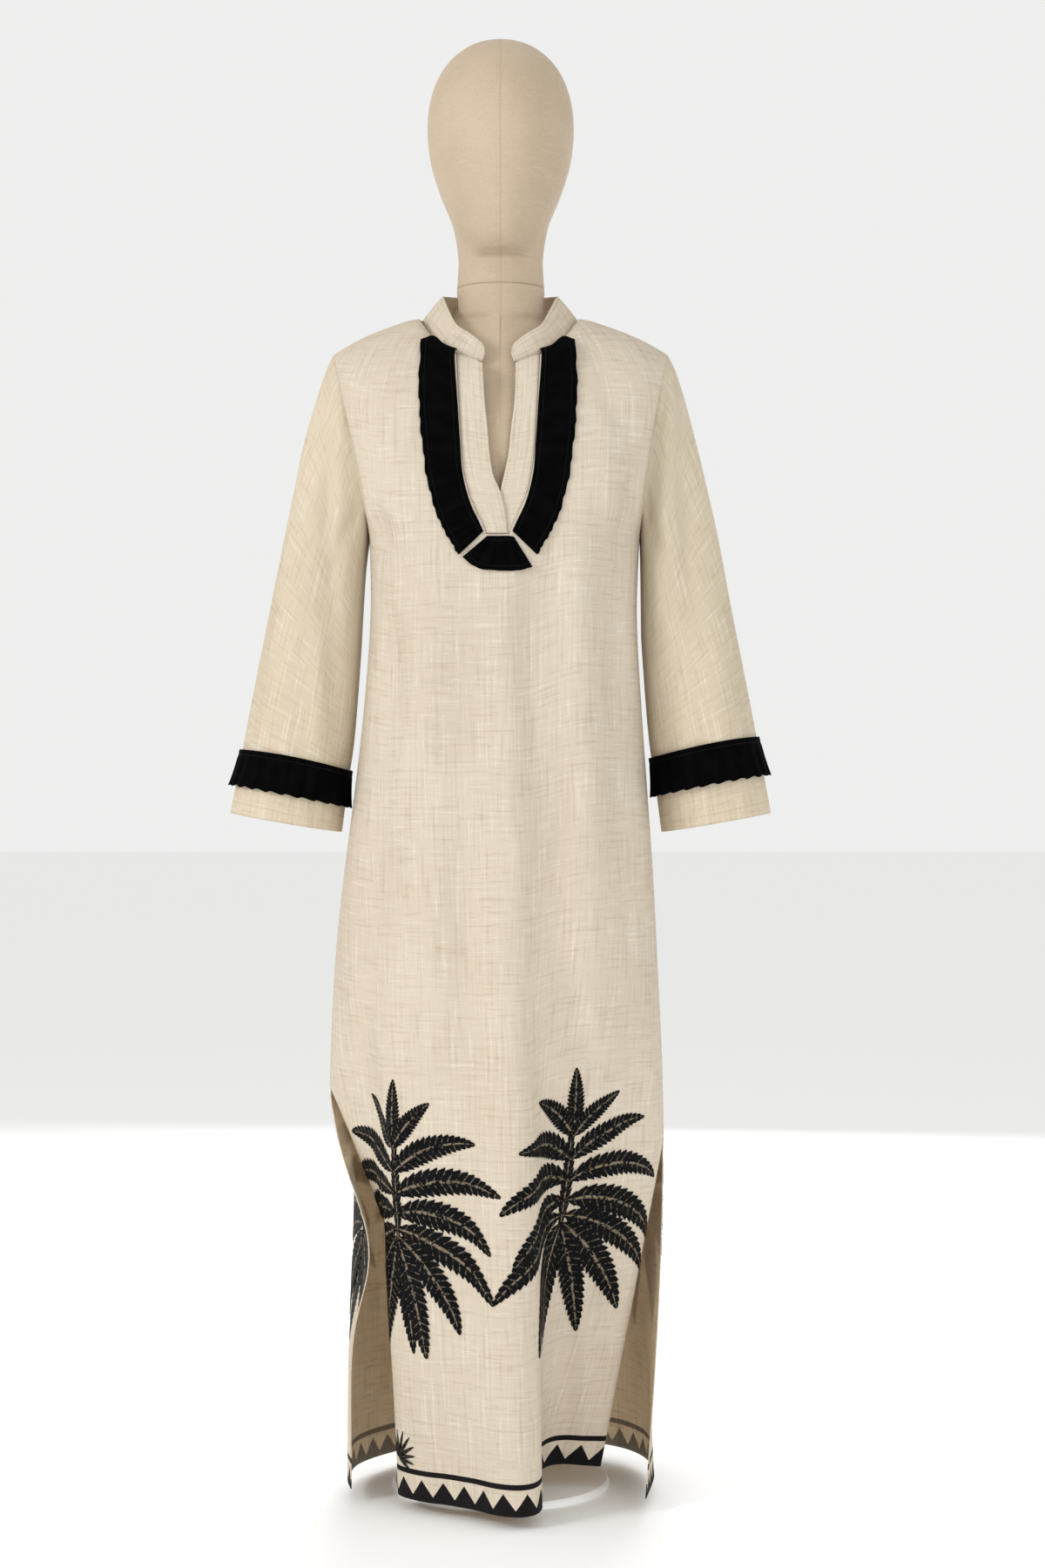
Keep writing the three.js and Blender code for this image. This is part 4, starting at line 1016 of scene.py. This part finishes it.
# %% Canvas form
TORSO = table("z half front back round", (1374, 50, 50, 50, 2), (1346, 53, 52, 52, 2),
    (1334, 72, 53, 53, 1.35), (1319, 128, 56, 57, 1.2), (1302, 156, 62, 62, 1.45),
    (1274, 163, 76, 72, 1.85), (1235, 160, 92, 80, 2), (1180, 147, 104, 84, 2), (1100, 133, 98, 80, 2),
    (1000, 114, 84, 72, 2), (900, 126, 90, 82, 2), (800, 141, 98, 90, 2), (700, 138, 92, 84, 2))
HEAD = table("z half front back", (1374.3, 50, 50, 50), (1400, 48.5, 50, 51), (1407, 48.5, 60, 53),
    (1413, 49, 73, 56), (1426, 50.5, 84, 62), (1450, 56, 91, 74), (1482, 69, 96, 90), (1520, 80.5, 99, 101),
    (1560, 84, 98, 105), (1596, 79, 89, 98), (1626, 65, 71, 80), (1647, 43, 46, 52), (1657, 19, 20, 22),
    (1659, 0, 0, 0))


def form_points(rows, steps, around, shrink, closed_low):
    a, t = np.meshgrid(np.linspace(0, 2 * math.pi, around + 1), np.linspace(0, 1, steps + 1))
    a = a + 0.36 * np.sin(2 * a)
    v = {key: rung(rows, key, t) for key in rows}
    power = 2 / v.get("round", 2 + 0 * t)
    c, s = (np.sign(f(a)) * np.abs(f(a)) ** power for f in (np.cos, np.sin))
    off_middle = v["half"] * np.cos(a)
    seam = 0.7 * bell(off_middle, 1.1) - 0.35 * bell(off_middle, 4)
    less = shrink * ease((1372 - v["z"]) / 14) - seam * ease(v["half"] / 20)
    deep = np.where(s < 0, v["front"], v["back"])
    if not closed_low:  # the chin is narrower than the neck behind it
        reach = mix(17, 96, ease((v["z"] - 1404) / 92))
        beside = ease((np.abs(v["half"] * c) - reach) / 26) * ease((1500 - v["z"]) / 40) * (s < 0)
        deep = mix(deep, np.minimum(deep, 50), beside)
    out = lambda size: np.maximum(size - less, 0)
    points = np.stack([out(v["half"]) * c, out(deep) * s, v["z"]], -1)
    if closed_low:
        foot = points[-1:].copy()
        foot[..., :2] = 0
        points = np.concatenate([points, foot])
    points[:, -1] = points[:, 0]
    return points


TAN, TAN_LIGHT = (0.470, 0.372, 0.262, 1), (0.53, 0.425, 0.308, 1)


def canvas_material():
    shade = Shade("canvas")
    where = shade.object_place()
    split = shade.node("ShaderNodeSeparateXYZ", {}, where)
    x, z = split.value("X"), split.value("Z")
    weave = (x * 3600.0).sine() * (z * 3600.0).sine()
    fleck = shade.noise(where, (500, 500, 900), 2.0)
    tone = shade.noise(where, (9, 9, 7), 3.0)
    base = shade.blend(tone.smooth(0.3, 0.7), TAN, TAN_LIGHT)
    base = shade.blend(fleck.smooth(0.52, 0.72) * 0.4, base, (0.40, 0.295, 0.19, 1))
    fibre = shade.noise(where, (60, 60, 420), 3.0, 0.7)
    base = shade.blend(fibre.smooth(0.52, 0.7) * 0.3, base, (0.60, 0.50, 0.385, 1))
    seam = x.size().smooth(0.0016, 0.0004)
    base = shade.blend(seam * 0.35, base, (0.42, 0.31, 0.19, 1))
    ring = (z - 1.3745).size().smooth(0.0020, 0.0006)
    base = shade.blend(ring * 0.4, base, (0.40, 0.30, 0.19, 1))
    shade.bump(weave * 0.3 + fleck * 0.7 - seam * 1.2 - ring * 1.5, 0.0005, 0.6)
    return shade.finish(Base_Color=base, Roughness=0.88, Sheen_Weight=0.12, Specular_IOR_Level=0.25)


CANVAS = canvas_material()
for name, solid, rows, steps, shrink, foot in (
        ("bust_canvas", "form_torso", TORSO, 150, 1.6, True),
        ("head_canvas", "form_head", HEAD, 130, 0.0, False)):
    mesh = grid_mesh(name, (form_points(rows, steps, 160, shrink, foot),), wraps=True)
    outward(mesh, from_axis)
    mesh.materials.append(CANVAS)
    new_piece(name, mesh, [solid])
    print(name, "faces:", len(mesh.polygons))

# %% [markdown]
# Nothing of the stand shows in the picture, so it stays plain: a turned base, a socket and a tube,
# all satin white. Each is a profile spun round the pole.

# %% Stand
POLE_AXIS = Vector((0, 0.015, 0))


def stand_material():
    shade = Shade("satin white")
    cloudy = shade.noise(shade.object_place(), (14, 14, 14), 2.0)
    return shade.finish(Base_Color=(0.90, 0.898, 0.89, 1), Roughness=cloudy * 0.14 + 0.45)


STAND = stand_material()


def turned(name, profile, replaces):
    """profile is a closed row of (radius, height) in millimetres."""
    bm = bmesh.new()
    verts = [bm.verts.new(Vector((r, 0, z)) * MM + POLE_AXIS) for r, z in profile]
    edges = [bm.edges.new(pair) for pair in zip(verts, verts[1:])]
    bmesh.ops.spin(bm, geom=verts + edges, cent=POLE_AXIS, axis=(0, 0, 1), angle=2 * math.pi,
                   steps=96, use_merge=True)
    bmesh.ops.remove_doubles(bm, verts=bm.verts, dist=1e-6)
    bmesh.ops.recalc_face_normals(bm, faces=bm.faces)
    piece = new_piece(name, mesh_from(bm, name, STAND), replaces)
    rim = piece.modifiers.new("rims", "BEVEL")
    rim.width, rim.segments = 0.0006, 3
    rim.limit_method, rim.angle_limit = "ANGLE", math.radians(35)
    rim.harden_normals = True


BASE_TOP, SOCKET_TOP, POLE_TOP = 8, 42.3, 699.7
FOOT = BASE_TOP + 0.3
turned("stand_base", [(0, 0), (125, 0), (125, 5), (122, BASE_TOP), (0, BASE_TOP)], ["form_base"])
turned("stand_socket", [(12.5, FOOT), (28, FOOT), (28, 13.3), (18, 17.3), (18, SOCKET_TOP),
                        (12.5, SOCKET_TOP), (12.5, FOOT)], ["form_socket"])
turned("stand_pole", [(0, FOOT), (12, FOOT), (12, POLE_TOP), (0, POLE_TOP)], ["form_pole"])

# %% [markdown]
# The studio is a pale floor under soft light: a wide lamp high at the left front gives the folds
# their shade, a weaker one low at the right front opens the shadows, and one behind shines through
# the cloth and into the slits. A plain pale world does the rest.

# %% Floor and light
paper = Shade("floor paper").finish(Base_Color=(0.93, 0.93, 0.925, 1), Roughness=0.9)
bm = bmesh.new()
bmesh.ops.create_grid(bm, x_segments=1, y_segments=1, size=30)
floor = bpy.data.objects.new("floor", mesh_from(bm, "floor", paper))
bpy.context.scene.collection.objects.link(floor)


def lamp(name, place, aim, size, power, colour=(1, 1, 1)):
    data = bpy.data.lights.new(name, "AREA")
    data.shape, data.size, data.energy, data.color = "DISK", size, power, colour
    made = bpy.data.objects.new(name, data)
    made.location = place
    made.rotation_euler = (Vector(aim) - Vector(place)).to_track_quat("-Z", "Y").to_euler()
    bpy.context.scene.collection.objects.link(made)


lamp("key", (-2.7, -1.9, 2.2), (0, 0, 0.75), 1.0, 44, (1.0, 0.985, 0.965))
lamp("fill", (1.1, -3.3, 0.9), (0, 0, 0.6), 1.6, 24)
lamp("back", (0.3, 2.9, 1.5), (0, 0, 0.6), 1.8, 60)
world = bpy.data.worlds.new("studio")
world.use_nodes = True
world.node_tree.nodes["Background"].inputs["Color"].default_value = (1, 1, 0.995, 1)
world.node_tree.nodes["Background"].inputs["Strength"].default_value = 0.86
bpy.context.scene.world = world
bpy.context.scene.view_settings.view_transform = "Standard"
bpy.context.scene.view_settings.look = "None"
